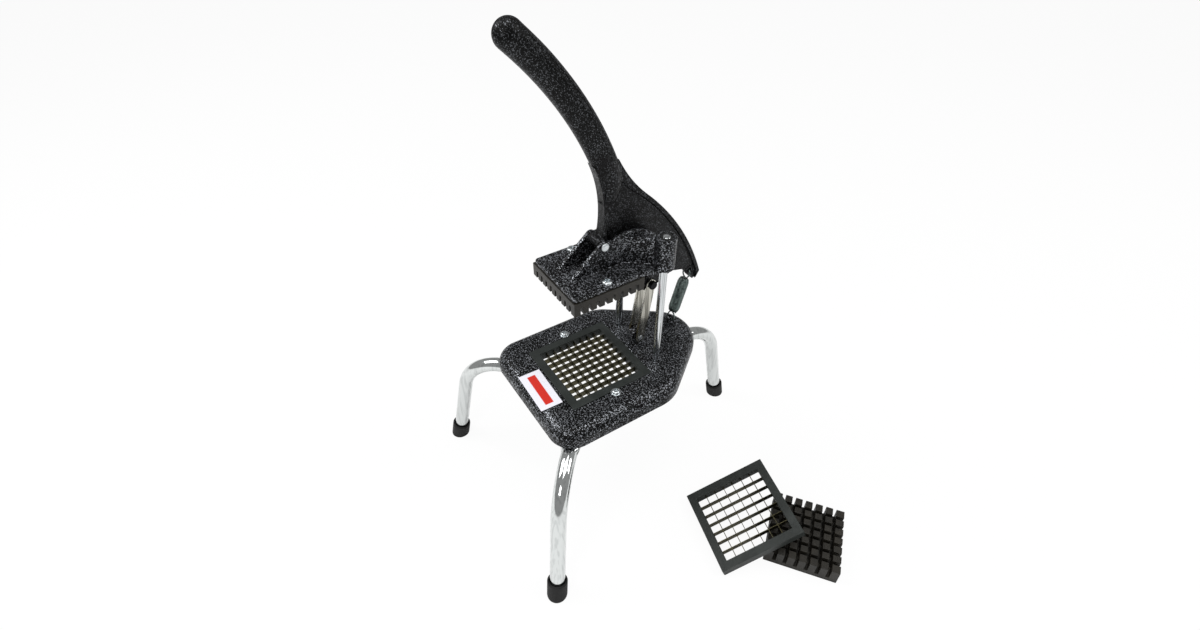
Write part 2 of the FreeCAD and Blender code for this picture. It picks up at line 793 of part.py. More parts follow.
def front_label():
    """A thin blank label in front of the grid."""
    label = block("FrontLabel", ("0", "label_width"), ("0", "label_depth"), ("0", "label_thickness"))
    place(label, "label_x - label_width / 2", "-recess_half - label_gap - label_depth", "plate_top",
          "label_turn")
    node(label, "front_label")


# Carriage


def carriage_floor():
    """The flat plate above the pusher, with two wings that reach back to the guide bosses."""
    body = new_body("CarriageFloor")
    sketch = new_sketch(body, "XY_Plane", "FloorOutline", "carriage_bottom")
    half, wing = "carriage_half", "guide_x + guide_boss_radius - overlap"
    right = [
        (half, f"-{half}"),
        (half, "slot_front - wing_step"),
        (wing, "guide_y"),
        ("guide_x", "guide_y + guide_boss_radius - overlap"),
        ("cheek_inside", "guide_y + wing_step"),
        ("cheek_inside", "slot_front"),
    ]
    left = [(f"-({x})", y) for x, y in reversed(right)]
    outline(sketch, right + left)
    floor = pad(body, sketch, "Floor", "carriage_floor")
    round_edges(body, floor, "FloorCorners", "carriage_round", upright_at(half, f"-{half}"))
    return body


def cheek(name, low):
    """An upright cheek along Y: a rib from the front, the ear for the lever's pin, and an arch behind it."""
    body = new_body(name)
    sketch = new_sketch(body, "YZ_Plane", f"{name}Outline", low)
    corners = [
        ("-cheek_front", "carriage_top - overlap"),
        ("cheek_back", "carriage_top - overlap"),
        ("cheek_back", "cheek_back_top"),
        ("arch_front", "arch_front_top"),
        ("pivot_y - ear_radius * sin(45)", "pivot_z + ear_radius * sin(45)"),
    ]
    outline(sketch, corners, {2: ("arch_round", True)})
    pad(body, sketch, f"{name}Plate", "cheek_thickness")
    return body


def diagonal_web(name, sign):
    """The wall from a cheek to the guide boss on its side."""
    web = doc.addObject("Part::Box", name)
    bind(web, "Length", "web_length")
    bind(web, "Width", "web_thickness")
    bind(web, "Height", "web_top - carriage_bottom")
    turn = "web_angle" if sign == "" else "180 deg - web_angle"
    shift = "web_thickness / 2"
    return place(web, f"{sign}web_start_x + {shift} * sin({turn})", f"web_start_y - {shift} * cos({turn})",
                 "carriage_bottom", turn)


def carriage():
    """The casting that holds the pusher, runs on the guide rods and carries the lever's pin."""
    pieces = [carriage_floor()]
    holes = [cross_post("EarHole", "pin_radius + thread_fit", "cheek_outside + 2 * overlap", "pivot_y",
                        "pivot_z")]
    for side, sign, low in (("Right", "", "cheek_inside"), ("Left", "-", "-cheek_outside")):
        pieces.append(cheek(f"Cheek{side}", low))
        pieces.append(post(f"Ear{side}", "ear_radius", "cheek_thickness", low, "pivot_y", "pivot_z",
                           along="x"))
        pieces.append(diagonal_web(f"Web{side}", sign))
        pieces.append(post(f"Boss{side}", "guide_boss_radius", "boss_height", f"{sign}guide_x", "guide_y",
                           "carriage_bottom"))
        holes.append(post(f"BushSeat{side}", "bush_radius + thread_fit", "boss_height + 2 * overlap",
                          f"{sign}guide_x", "guide_y",
                          "carriage_bottom - overlap"))
        holes.append(post(f"PusherHole{side}", "pusher_screw_radius + thread_fit",
                          "carriage_floor + 2 * overlap",
                          f"{sign}pusher_screw_x", "pusher_screw_y", "carriage_bottom - overlap"))
    node(cut("Carriage", fuse("CarriageCasting", *pieces), *holes), "carriage")


def guide_bushes():
    for side, sign in (("right", ""), ("left", "-")):
        at = (f"{sign}guide_x", "guide_y")
        bush = cut(
            f"bush_{side}",
            post(f"bush_outside_{side}", "bush_radius", "boss_height", *at, "carriage_bottom"),
            post(f"bush_bore_{side}", "guide_radius + running_fit", "boss_height + 2 * overlap", *at,
                 "carriage_bottom - overlap"),
        )
        node(bush, f"guide_bush_{side}")


def pusher_block():
    """The fine pusher below the carriage, with blind holes for its screws."""
    teeth = pusher("fine", "fine_cells", "(carriage_bottom - pusher_plate - tooth_length)", "tooth_length",
                   "tooth_gap")
    holes = [
        post("PusherThread", "pusher_screw_radius + thread_fit", "pusher_plate", f"{sign}pusher_screw_x",
             "pusher_screw_y",
             "carriage_bottom - pusher_plate + overlap / 2")
        for sign in ("", "-")
    ]
    node(cut("PusherBlock", teeth, *holes), "pusher_block")


def pusher_screws():
    screws = []
    for side, sign in (("right", ""), ("left", "-")):
        at = (f"{sign}pusher_screw_x", "pusher_screw_y")
        length = "(carriage_floor + pusher_plate - overlap)"
        screws.append(fuse(
            f"pusher_screw_{side}",
            post(f"pusher_screw_shank_{side}", "pusher_screw_radius", length, *at,
                 f"carriage_top - {length}"),
            post(f"pusher_screw_head_{side}", "pusher_screw_head", "screw_head_height", *at, "carriage_top"),
        ))
    node(group("PusherScrews", screws), "pusher_screws")


def handle_pin():
    """The pin through both ears, with a head on the right and a pressed ring on the left."""
    at = ("pivot_y", "pivot_z")
    pin = fuse(
        "HandlePin",
        cross_post("handle_pin_shank", "pin_radius", "cheek_outside + pin_head_height", *at),
        post("handle_pin_head", "pin_head_radius", "pin_head_height", "cheek_outside", *at, along="x"),
    )
    node(pin, "handle_pin")
    ring = cut(
        "HandlePinRing",
        post("pin_ring_outside", "pin_head_radius", "pin_ring_thickness",
             "-cheek_outside - pin_ring_thickness", *at,
             along="x"),
        post("pin_ring_bore", "pin_radius + thread_fit", "pin_ring_thickness + 2 * overlap",
             "-cheek_outside - pin_ring_thickness - overlap", *at, along="x"),
    )
    node(ring, "handle_pin_ring")


# Lever


def from_pivot(name):
    """A point of the lever's outline, which is measured from its pivot."""
    return (f"pivot_y + {name}_y", f"pivot_z + {name}_z")


def lever_web():
    """The fan between grip, pivot, lug and tail: a flanged plate whose middle is thinned from both sides."""
    body = new_body("LeverWeb")
    sketch = new_sketch(body, "YZ_Plane", "LeverOutline")
    corners = [
        from_pivot("neck_front"),
        from_pivot("waist_front"),
        ("pivot_y", "pivot_z"),
        from_pivot("belly"),
        ("fulcrum_y - lug_radius", "fulcrum_z"),
        ("fulcrum_y", "fulcrum_z - lug_radius"),
        from_pivot("hollow"),
        from_pivot("notch"),
        from_pivot("tail_under"),
        from_pivot("tail_tip"),
        from_pivot("tail_back"),
        from_pivot("saddle"),
        from_pivot("neck_back"),
    ]
    arcs = {0: ("front_round", False), 10: ("back_round", True), 11: ("saddle_round", False)}
    outline(sketch, corners, arcs)
    pad(body, sketch, "Fan", "flange_width", symmetric=True)
    window = new_sketch(body, "YZ_Plane", "WindowOutline", "lever_web / 2")
    front, low, back = "pivot_y + waist_front_y + flange_depth", "fulcrum_z - 3 * lug_radius", "window_back_y"
    outline(window, [
        ("pivot_y + neck_front_y + window_front_inset", "pivot_z + neck_front_z - window_front_drop"),
        (front, "pivot_z + waist_front_z"),
        (front, low),
        (back, low),
        (back, "pivot_z + tail_back_z"),
        ("pivot_y + saddle_y - window_saddle_inset", "pivot_z + saddle_z - window_saddle_inset"),
        ("pivot_y + neck_back_y - flange_depth", "pivot_z + neck_back_z - window_back_drop"),
    ], {4: ("back_round", True), 5: ("saddle_round", False)})
    pocket = body.newObject("PartDesign::Pocket", "Window")
    pocket.Profile = window
    pocket.Reversed = True
    bind(pocket, "Length", "flange_width")
    doc.recompute()
    mirror = body.newObject("PartDesign::Mirrored", "BothWindows")
    mirror.Originals = [pocket]
    mirror.MirrorPlane = (origin_plane(body, "YZ_Plane"), [""])
    body.Tip = mirror
    doc.recompute()
    return body


def grip_spot(angle):
    """Where the grip's centre line is at an angle of its arc."""
    return f"grip_axis_y + grip_round * cos({angle})", f"grip_axis_z + grip_round * sin({angle})"


def stand_across(thing, y, z, angle):
    """Places a thing on the lever's middle plane, with its own X along the grip's arc radius."""
    bind(thing, "Placement", f"placement(vector(0; {y}; {z}); rotation(90; -({angle}); 0))")
    return thing


def grip():
    """The oval grip along its arc, with a round end, narrowing into the fan's front flange."""
    sections = []
    for count in range(GRIP_SPANS + 1):
        share = f"({count} / {GRIP_SPANS})"
        angle = f"(grip_tip_angle + (grip_root_angle - grip_tip_angle) * {share})"
        section = doc.addObject("Part::Ellipse", "GripSection")
        bind(section, "MajorRadius", f"(grip_depth + (root_depth - grip_depth) * {share}) / 2")
        bind(section, "MinorRadius", "grip_width / 2")
        sections.append(stand_across(section, *grip_spot(angle), angle))
    neck = doc.addObject("Part::Ellipse", "NeckSection")
    bind(neck, "MajorRadius", "neck_depth / 2")
    bind(neck, "MinorRadius", "flange_width / 2")
    sections.append(stand_across(neck, "pivot_y + neck_y", "pivot_z + neck_z", "0"))
    bar = doc.addObject("Part::Loft", "GripBar")
    bar.Sections = sections
    bar.Solid = True
    knob = doc.addObject("Part::Ellipsoid", "GripEnd")
    knob.Angle1 = 0
    bind(knob, "Radius1", "grip_tip_length")
    bind(knob, "Radius2", "grip_depth / 2")
    bind(knob, "Radius3", "grip_width / 2")
    stand_across(knob, *grip_spot("grip_tip_angle"), "grip_tip_angle")
    return bar, knob


def lever():
    """The lever casting: grip, fan, pivot boss, lug for the links and an eye for the spring."""
    boss_half = "cheek_inside - lever_boss_gap"
    solid = fuse(
        "LeverCasting",
        lever_web(),
        *grip(),
        cross_post("PivotBoss", "ear_radius", boss_half, "pivot_y", "pivot_z"),
        cross_post("LinkLug", "lug_radius", "lug_width / 2", "fulcrum_y", "fulcrum_z"),
        refine=False,
    )
    holes = [
        cross_post("PivotHole", "pin_radius + pin_fit", f"{boss_half} + overlap", "pivot_y", "pivot_z"),
        cross_post("FulcrumHole", "pin_radius + thread_fit", "lug_width", "fulcrum_y", "fulcrum_z"),
        cross_post("SpringEye", "spring_hole_radius", "flange_width", "spring_head_y", "spring_head_z"),
    ]
    for start in ("spring_lug_width / 2", "-spring_lug_width / 2 - flange_width"):
        holes.append(post("EyeFlat", "eye_flat_radius", "flange_width", start, "spring_head_y",
                          "spring_head_z", along="x"))
    node(cut("Lever", solid, *holes, refine=False), "handle")
    node(cross_post("FulcrumPin", "pin_radius", "lug_width / 2", "fulcrum_y", "fulcrum_z"), "fulcrum_pin")


# Links


def in_link_frame(thing, x="0"):
    """Stands a thing drawn upright from the origin on the links' foot, leaning back to the lever's lug."""
    return place(thing, x, "link_foot_y", "link_foot_z", "link_tilt", Vector(-1, 0, 0))


def links():
    """Two flat bars, one each side of the lugs, on a pin through the base lug."""
    for side, low in (("right", "link_inside"), ("left", "-link_outside")):
        part = f"link_{side}"
        bar = fuse(
            f"{part}_bar",
            block(f"{part}_middle", (low, f"{low} + link_thickness"), ("-link_width / 2", "link_width / 2"),
                  ("0", "link_length")),
            post(f"{part}_foot", "link_width / 2", "link_thickness", low, along="x"),
            post(f"{part}_head", "link_width / 2", "link_thickness", low, "0", "link_length", along="x"),
        )
        holes = [
            post(f"{part}_foot_hole", "pin_radius + pin_fit", "link_thickness + 2 * overlap",
                 f"{low} - overlap", along="x"),
            post(f"{part}_head_hole", "pin_radius + thread_fit", "link_thickness + 2 * overlap",
                 f"{low} - overlap", "0", "link_length",
                 along="x"),
        ]
        node(in_link_frame(cut(f"{part}_cut", bar, *holes)), part)
    node(cross_post("LinkFootPin", "pin_radius", "link_outside + link_pin_end", "link_foot_y",
                    "link_foot_z"), "link_foot_pin")


def fulcrum_ends():
    """The fulcrum bolt's ends outside the lug: its head on the right link and its nut on the left one."""
    head = fuse(
        "FulcrumHead",
        post("fulcrum_neck", "pin_radius", "link_thickness", "link_inside", "0", "link_length", along="x"),
        post("fulcrum_cap", "stud_head_radius", "stud_head_height", "link_outside", "0", "link_length",
             along="x"),
    )
    node(in_link_frame(head), "fulcrum_bolt_head")
    nut = fuse(
        "FulcrumNut",
        post("fulcrum_end", "pin_radius", "link_thickness", "-link_outside", "0", "link_length", along="x"),
        post("fulcrum_nut", "stud_head_radius", "stud_head_height", "-link_outside - stud_head_height", "0",
             "link_length",
             along="x"),
    )
    node(in_link_frame(nut), "fulcrum_bolt_nut")


# Return spring


def in_spring_frame(thing):
    return place(thing, "0", "spring_foot_y", "spring_foot_z", "spring_tilt", Vector(-1, 0, 0))


def spring_hook(name, middle):
    """A round loop across the spring's axis, which passes through an eye."""
    ring = doc.addObject("Part::Torus", name)
    ring.Placement = Placement(Vector(), Rotation(Vector(1, 0, 0), 90))
    bind(ring, "Radius1", "hook_radius")
    bind(ring, "Radius2", "wire_radius")
    return place(ring, "0", "0", middle)


def spring_tube(name, start, end):
    """A stretch of touching turns, drawn as a plain tube."""
    return cut(
        name,
        post(f"{name}_outside", "coil_radius", f"({end}) - ({start})", z=start),
        post(f"{name}_inside", "coil_radius - 2 * wire_radius", f"({end}) - ({start}) + 2 * overlap",
             z=f"({start}) - overlap"),
    )


def return_spring():
    """The extension spring from the base to the lever's tail: two hooks, the first turn and the coil."""
    for part, middle in (("spring_hook_lower", "hook_radius"),
                         ("spring_hook_upper", "spring_length - hook_radius")):
        node(in_spring_frame(group(f"{part}_loop", [spring_hook(f"{part}_ring", middle)])), part)
    node(in_spring_frame(spring_tube("EndTurn", "turn_start", "coil_start")), "spring_end_turn")
    node(in_spring_frame(spring_tube("Coil", "coil_start", "coil_end")), "spring_coil")


# Second grid and pusher


def spare_pusher():
    """The wide pusher on the floor, with its teeth up."""
    teeth = pusher("wide", "wide_cells", "0", "wide_tooth_length", "wide_tooth_gap")
    flipped = group("WideTeethUp", [teeth])
    flipped.Placement = Placement(Vector(), Rotation(Vector(1, 0, 0), 180))
    place(flipped, z="spare_height")
    node(place(group("WidePusher", [flipped]), "spare_pusher_x", "spare_pusher_y", "0", "spare_pusher_turn"),
         "spare_pusher_block")


def spare_knives():
    """The wide grid, one edge on the floor, leaning on the nearest corner of the spare pusher's teeth."""
    names = ("spare_knife_frame", "spare_blades_lengthwise", "spare_blades_crosswise")
    for name, piece in zip(names, knife_set("wide", "wide_cells", "0")):
        leaning = group(f"{name}_leaning", [place(piece, y="knife_half")])
        place(leaning, turn="knife_tilt", about=Vector(1, 0, 0))
        node(place(group(f"{name}_placed", [leaning]), "spare_edge_x", "spare_edge_y", "0",
                   "spare_knife_turn"), name)


def build():
    fill_sheet()
    base_plate()
    for spot in leg_spots():
        leg(*spot)
        foot(*spot)
    leg_bolts()
    guide_rods()
    mounted_knives()
    knife_screws()
    front_label()
    carriage()
    guide_bushes()
    pusher_block()
    pusher_screws()
    handle_pin()
    lever()
    links()
    fulcrum_ends()
    return_spring()
    spare_pusher()
    spare_knives()
    doc.recompute()


def check():
    """Stops if an object failed, or a sub-part has no valid shape."""
    failed = [item.Name for item in doc.Objects if "Invalid" in item.State or "Error" in item.State]
    failed += [item.Label for item in nodes if item.Shape.isNull() or not item.Shape.isValid()]
    if failed:
        raise SystemExit(f"not built: {failed}")


def write():
    os.makedirs("parts", exist_ok=True)
    for item in nodes:
        item.Shape.exportStep(f"parts/{item.Label}.step")
        box = item.Shape.BoundBox
        print(f"{item.Label}: {len(item.Shape.Solids)} solids, {item.Shape.Volume:.0f} mm3,"
              f" x {box.XMin:.1f} {box.XMax:.1f}, y {box.YMin:.1f} {box.YMax:.1f},"
              f" z {box.ZMin:.1f} {box.ZMax:.1f}")


build()
check()
write()
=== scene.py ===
"""French fry cutter: a lever press on three tube legs, with its spare grid and pusher beside it.

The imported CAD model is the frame. Each sub-assembly is a class that softens, replaces or dresses its own
nodes.
"""

import json
import logging
import math
from dataclasses import dataclass, field
from enum import Enum
from typing import Any, Callable

import bmesh
import bpy
from mathutils import Matrix, Vector


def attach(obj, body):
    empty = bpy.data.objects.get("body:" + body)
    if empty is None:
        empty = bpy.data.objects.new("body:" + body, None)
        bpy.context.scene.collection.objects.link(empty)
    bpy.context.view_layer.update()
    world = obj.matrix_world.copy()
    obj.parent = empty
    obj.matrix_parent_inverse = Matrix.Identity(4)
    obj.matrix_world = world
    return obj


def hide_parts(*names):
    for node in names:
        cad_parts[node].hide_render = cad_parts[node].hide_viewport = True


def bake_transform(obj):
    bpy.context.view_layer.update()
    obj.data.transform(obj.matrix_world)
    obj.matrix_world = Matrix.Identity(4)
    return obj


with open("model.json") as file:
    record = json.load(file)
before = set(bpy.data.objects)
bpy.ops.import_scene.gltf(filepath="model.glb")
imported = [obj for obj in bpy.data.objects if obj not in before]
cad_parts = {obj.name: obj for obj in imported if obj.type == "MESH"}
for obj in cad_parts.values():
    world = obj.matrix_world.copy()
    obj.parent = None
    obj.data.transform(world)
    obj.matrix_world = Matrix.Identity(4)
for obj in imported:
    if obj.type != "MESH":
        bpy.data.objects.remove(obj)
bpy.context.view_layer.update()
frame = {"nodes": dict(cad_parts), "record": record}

MM = 0.001

logging.basicConfig(level=logging.INFO, format="%(name)s: %(message)s")
log = logging.getLogger("fry_cutter")


class Body(Enum):
    """The moving bodies of the press."""

    BASE = "base"
    CARRIAGE = "carriage"
    LEVER = "lever"
    LINKS = "links"
    SPRING_FOOT = "spring_foot"
    SPRING_EYE = "spring_eye"
    SPRING_END = "spring_end"


class Side(Enum):
    """The two sides of the middle plane, as the sign of X."""

    RIGHT = 1
    LEFT = -1


def linear(code: str) -> tuple[float, float, float, float]:
    """Turns an sRGB hex colour to linear.

    Args:
        code: The colour, such as "#c8ccd0".

    Returns:
        Red, green, blue and an alpha of 1.
    """
    shares = [int(code[i : i + 2], 16) / 255 for i in (1, 3, 5)]
    red, green, blue = (s / 12.92 if s <= 0.04045 else ((s + 0.055) / 1.055) ** 2.4 for s in shares)
    return red, green, blue, 1.0


def add_node(
    tree: bpy.types.NodeTree,
    kind: str,
    settings: dict[str, Any] | None = None,
    inputs: dict[str | int, Any] | None = None,
) -> bpy.types.Node:
    """Adds a shader node with its settings, and links or sets its inputs.

    Args:
        tree: The node tree that gets the node.
        kind: The node's type name.
        settings: Properties of the node.
        inputs: Values by socket name or number; a socket as the value is linked.

    Returns:
        The new node.
    """
    node = tree.nodes.new(kind)
    for name, setting in (settings or {}).items():
        setattr(node, name, setting)
    for key, given in (inputs or {}).items():
        if isinstance(given, bpy.types.NodeSocket):
            tree.links.new(given, node.inputs[key])
        else:
            node.inputs[key].default_value = given
    return node


@dataclass(frozen=True)
class Finish:
    """A surface finish. Each kind below says what the real one is and lays out its own nodes."""

    name: str

    def material(self) -> bpy.types.Material:
        """Makes the material at its first use.

        Returns:
            The material of this finish.
        """
        made = bpy.data.materials.get(self.name)
        if made is None:
            made = bpy.data.materials.new(self.name)
            made.use_nodes = True
            tree = made.node_tree
            tree.nodes.clear()
            shader = add_node(tree, "ShaderNodeBsdfPrincipled")
            add_node(tree, "ShaderNodeOutputMaterial", inputs={"Surface": shader.outputs["BSDF"]})
            where = add_node(tree, "ShaderNodeTexCoord").outputs["Object"]
            self.lay_out(tree, shader, where)
        return made

    def lay_out(self, tree: bpy.types.NodeTree, shader: bpy.types.Node, where: bpy.types.NodeSocket) -> None:
        """Adds the finish's own nodes.

        Args:
            tree: The material's node tree.
            shader: Its Principled shader.
            where: Object coordinates, in metres.
        """
        raise NotImplementedError


@dataclass(frozen=True)
class VeinPaint(Finish):
    """Silver-vein powder coat baked on cast aluminium: a black ground that splits over silver flakes."""

    black: str = "#030303"
    silver: str = "#8f9297"
    grain_mm: float = 1.35  # width of a vein, as seen on the deck
    relief_mm: float = 0.24  # height of the wrinkles between veins
    vein_start: float = 0.625  # level of the noise where a vein begins
    vein_full: float = 0.665  # level where it is all silver
    drift_mm: float = 25.0  # size of a patch with more or fewer veins
    drift: float = 0.12  # how much such a patch moves the level
    flake: float = 0.55  # how metallic a vein is
    ground_roughness: float = 0.40
    vein_roughness: float = 0.26
    wrinkle: float = 0.9  # strength of the relief
    specular: float = 0.12  # low, because the ground between the veins is matt

    def lay_out(self, tree: bpy.types.NodeTree, shader: bpy.types.Node, where: bpy.types.NodeSocket) -> None:
        """Veins in colour, metal and gloss, over the wrinkled relief of the same noise."""
        grain = add_node(tree, "ShaderNodeTexNoise", inputs={
            "Vector": where, "Scale": 1 / (self.grain_mm * MM), "Detail": 2.0, "Roughness": 0.45,
            "Distortion": 0.7})
        drift = add_node(tree, "ShaderNodeTexNoise", inputs={
            "Vector": where, "Scale": 1 / (self.drift_mm * MM), "Detail": 2.0})
        mixed = add_node(tree, "ShaderNodeMath", {"operation": "MULTIPLY_ADD"}, {
            0: drift.outputs["Fac"], 1: self.drift, 2: grain.outputs["Fac"]})
        vein = add_node(tree, "ShaderNodeMapRange", {"interpolation_type": "SMOOTHSTEP"}, {
            "Value": mixed.outputs[0], "From Min": self.vein_start, "From Max": self.vein_full})
        colour = add_node(tree, "ShaderNodeMix", {"data_type": "RGBA"}, {
            0: vein.outputs["Result"], 6: linear(self.black), 7: linear(self.silver)})
        metal = add_node(tree, "ShaderNodeMath", {"operation": "MULTIPLY"}, {
            0: vein.outputs["Result"], 1: self.flake})
        rough = add_node(tree, "ShaderNodeMapRange", inputs={
            "Value": vein.outputs["Result"], "To Min": self.ground_roughness, "To Max": self.vein_roughness})
        bump = add_node(tree, "ShaderNodeBump", inputs={
            "Strength": self.wrinkle, "Distance": self.relief_mm * MM, "Height": grain.outputs["Fac"]})
        tree.links.new(colour.outputs[2], shader.inputs["Base Color"])
        tree.links.new(metal.outputs[0], shader.inputs["Metallic"])
        tree.links.new(rough.outputs["Result"], shader.inputs["Roughness"])
        tree.links.new(bump.outputs["Normal"], shader.inputs["Normal"])
        shader.inputs["Specular IOR Level"].default_value = self.specular


@dataclass(frozen=True)
class DrawnMetal(Finish):
    """A metal with drawing, grinding or brushing lines along one way, and faint handling marks. On the chrome, the
    stain along the lines is painted reflection.
    """

    base: str = "#c9ccce"
    stain_and_reflection: str = "#9a9c9d"
    roughness: float = 0.16
    spread: float = 0.08  # how far the marks change the gloss
    line_mm: tuple[float, float, float] = (0.5, 0.5, 30.0)  # size of one line along X, Y and Z
    relief_mm: float = 0.008
    mark_mm: float = 14.0  # size of a handling mark
    streak: float = 0.0  # how much of the stain follows the lines
    mark: float = 1.0  # how much of it lies in the handling marks
    mark_levels: tuple[float, float] = (0.46, 0.74)  # where a mark begins and where it is full
    line_levels: tuple[float, float] = (0.45, 0.68)  # the same for a line
    line_gloss: float = 0.5  # how much the lines count in the gloss, next to the marks
    line_relief: float = 0.5  # strength of the relief

    def lay_out(self, tree: bpy.types.NodeTree, shader: bpy.types.Node, where: bpy.types.NodeSocket) -> None:
        """Long lines in gloss and relief, and marks in colour and gloss."""
        stretched = add_node(tree, "ShaderNodeMapping", inputs={
            "Vector": where, "Scale": [1 / (size * MM) for size in self.line_mm]})
        lines = add_node(tree, "ShaderNodeTexNoise", inputs={
            "Vector": stretched.outputs["Vector"], "Scale": 1.0, "Detail": 1.5, "Roughness": 0.5})
        marks = add_node(tree, "ShaderNodeTexNoise", inputs={
            "Vector": where, "Scale": 1 / (self.mark_mm * MM), "Detail": 5.0, "Roughness": 0.65})
        mark_start, mark_full = self.mark_levels
        dull = add_node(tree, "ShaderNodeMapRange", {"interpolation_type": "SMOOTHSTEP"}, {
            "Value": marks.outputs["Fac"], "From Min": mark_start, "From Max": mark_full,
            "To Max": self.mark})
        both = add_node(tree, "ShaderNodeMath", {"operation": "MULTIPLY_ADD"}, {
            0: lines.outputs["Fac"], 1: self.line_gloss, 2: dull.outputs["Result"]})
        rough = add_node(tree, "ShaderNodeMapRange", inputs={
            "Value": both.outputs[0], "From Max": 1 + self.line_gloss, "To Min": self.roughness,
            "To Max": self.roughness + 2 * self.spread})
        line_start, line_full = self.line_levels
        # stain along the lines: on the chrome this is painted reflection
        line_stain_and_reflection = add_node(tree, "ShaderNodeMapRange", {"interpolation_type": "SMOOTHSTEP"}, {
            "Value": lines.outputs["Fac"], "From Min": line_start, "From Max": line_full,
            "To Max": self.streak})
        share = add_node(tree, "ShaderNodeMath", {"operation": "MAXIMUM"}, {
            0: dull.outputs["Result"], 1: line_stain_and_reflection.outputs["Result"]})
        colour = add_node(tree, "ShaderNodeMix", {"data_type": "RGBA"}, {
            0: share.outputs[0], 6: linear(self.base), 7: linear(self.stain_and_reflection)})
        bump = add_node(tree, "ShaderNodeBump", inputs={
            "Strength": self.line_relief, "Distance": self.relief_mm * MM, "Height": lines.outputs["Fac"]})
        tree.links.new(colour.outputs[2], shader.inputs["Base Color"])
        tree.links.new(rough.outputs["Result"], shader.inputs["Roughness"])
        tree.links.new(bump.outputs["Normal"], shader.inputs["Normal"])
        shader.inputs["Metallic"].default_value = 1.0


@dataclass(frozen=True)
class MouldedSurface(Finish):
    """A moulded plastic or rubber: spark-eroded mould grain, faint flow marks and a little dust."""

    base: str = "#2c302e"
    light: str = "#3a3f3c"
    roughness: float = 0.5
    grain_mm: float = 0.7  # finer on the real one; coarse enough here to show
    relief_mm: float = 0.05
    flow_mm: float = 22.0
    ior: float = 1.5
    specular: float = 0.3

    def lay_out(self, tree: bpy.types.NodeTree, shader: bpy.types.Node, where: bpy.types.NodeSocket) -> None:
        """Grain in relief and gloss, flow marks in colour."""
        grain = add_node(tree, "ShaderNodeTexNoise", inputs={
            "Vector": where, "Scale": 1 / (self.grain_mm * MM), "Detail": 3.0, "Roughness": 0.6})
        flow = add_node(tree, "ShaderNodeTexNoise", inputs={
            "Vector": where, "Scale": 1 / (self.flow_mm * MM), "Detail": 4.0, "Roughness": 0.6,
            "Distortion": 0.8})
        blotch = add_node(tree, "ShaderNodeMath", {"operation": "MULTIPLY_ADD"}, {
            0: grain.outputs["Fac"], 1: 0.35, 2: flow.outputs["Fac"]})
        share = add_node(tree, "ShaderNodeMapRange", inputs={
            "Value": blotch.outputs[0], "From Min": 0.5, "From Max": 0.86})
        colour = add_node(tree, "ShaderNodeMix", {"data_type": "RGBA"}, {
            0: share.outputs["Result"], 6: linear(self.base), 7: linear(self.light)})
        rough = add_node(tree, "ShaderNodeMapRange", inputs={
            "Value": grain.outputs["Fac"], "From Min": 0.3, "From Max": 0.7,
            "To Min": self.roughness - 0.06, "To Max": self.roughness + 0.08})
        bump = add_node(tree, "ShaderNodeBump", inputs={
            "Strength": 0.5, "Distance": self.relief_mm * MM, "Height": grain.outputs["Fac"]})
        tree.links.new(colour.outputs[2], shader.inputs["Base Color"])
        tree.links.new(rough.outputs["Result"], shader.inputs["Roughness"])
        tree.links.new(bump.outputs["Normal"], shader.inputs["Normal"])
        shader.inputs["IOR"].default_value = self.ior
        shader.inputs["Specular IOR Level"].default_value = self.specular


@dataclass(frozen=True)
class PrintedVinyl(Finish):
    """White vinyl label with a plain red band: a smooth film with a faint orange peel."""

    name: str = "printed_vinyl_label"
    film: str = "#e6e5ee"
    ink: str = "#c8281c"
    centre_mm: tuple[float, float] = (6.4, -63.2)
    turn_deg: float = -2.0
    band_mm: tuple[float, float] = (43.0, 9.0)  # length and width of the red band
    edge_mm: float = 0.4  # over which the ink fades at the band's edge
    peel_mm: float = 3.0
    peel_relief_mm: float = 0.03
    peel_strength: float = 0.2
    roughness: float = 0.32

    def lay_out(self, tree: bpy.types.NodeTree, shader: bpy.types.Node, where: bpy.types.NodeSocket) -> None:
        """The band is where both distances from the label's middle are short enough."""
        x, y = self.centre_mm
        turned = add_node(tree, "ShaderNodeMapping", {"vector_type": "TEXTURE"}, {
            "Vector": where, "Location": (x * MM, y * MM, 0),
            "Rotation": (0, 0, math.radians(self.turn_deg))})
        split = add_node(tree, "ShaderNodeSeparateXYZ", inputs={"Vector": turned.outputs["Vector"]})
        shares = []
        for axis, length in zip("XY", self.band_mm):
            away = add_node(tree, "ShaderNodeMath", {"operation": "ABSOLUTE"}, {0: split.outputs[axis]})
            shares.append(add_node(tree, "ShaderNodeMapRange", {"interpolation_type": "SMOOTHSTEP"}, {
                "Value": away.outputs[0], "From Min": (length / 2 - self.edge_mm) * MM,
                "From Max": (length / 2 + self.edge_mm) * MM, "To Min": 1.0, "To Max": 0.0}))
        band = add_node(tree, "ShaderNodeMath", {"operation": "MULTIPLY"}, {
            0: shares[0].outputs["Result"], 1: shares[1].outputs["Result"]})
        colour = add_node(tree, "ShaderNodeMix", {"data_type": "RGBA"}, {
            0: band.outputs[0], 6: linear(self.film), 7: linear(self.ink)})
        peel = add_node(tree, "ShaderNodeTexNoise", inputs={
            "Vector": where, "Scale": 1 / (self.peel_mm * MM), "Detail": 2.0})
        bump = add_node(tree, "ShaderNodeBump", inputs={
            "Strength": self.peel_strength, "Distance": self.peel_relief_mm * MM,
            "Height": peel.outputs["Fac"]})
        tree.links.new(colour.outputs[2], shader.inputs["Base Color"])
        tree.links.new(bump.outputs["Normal"], shader.inputs["Normal"])
        shader.inputs["Roughness"].default_value = self.roughness
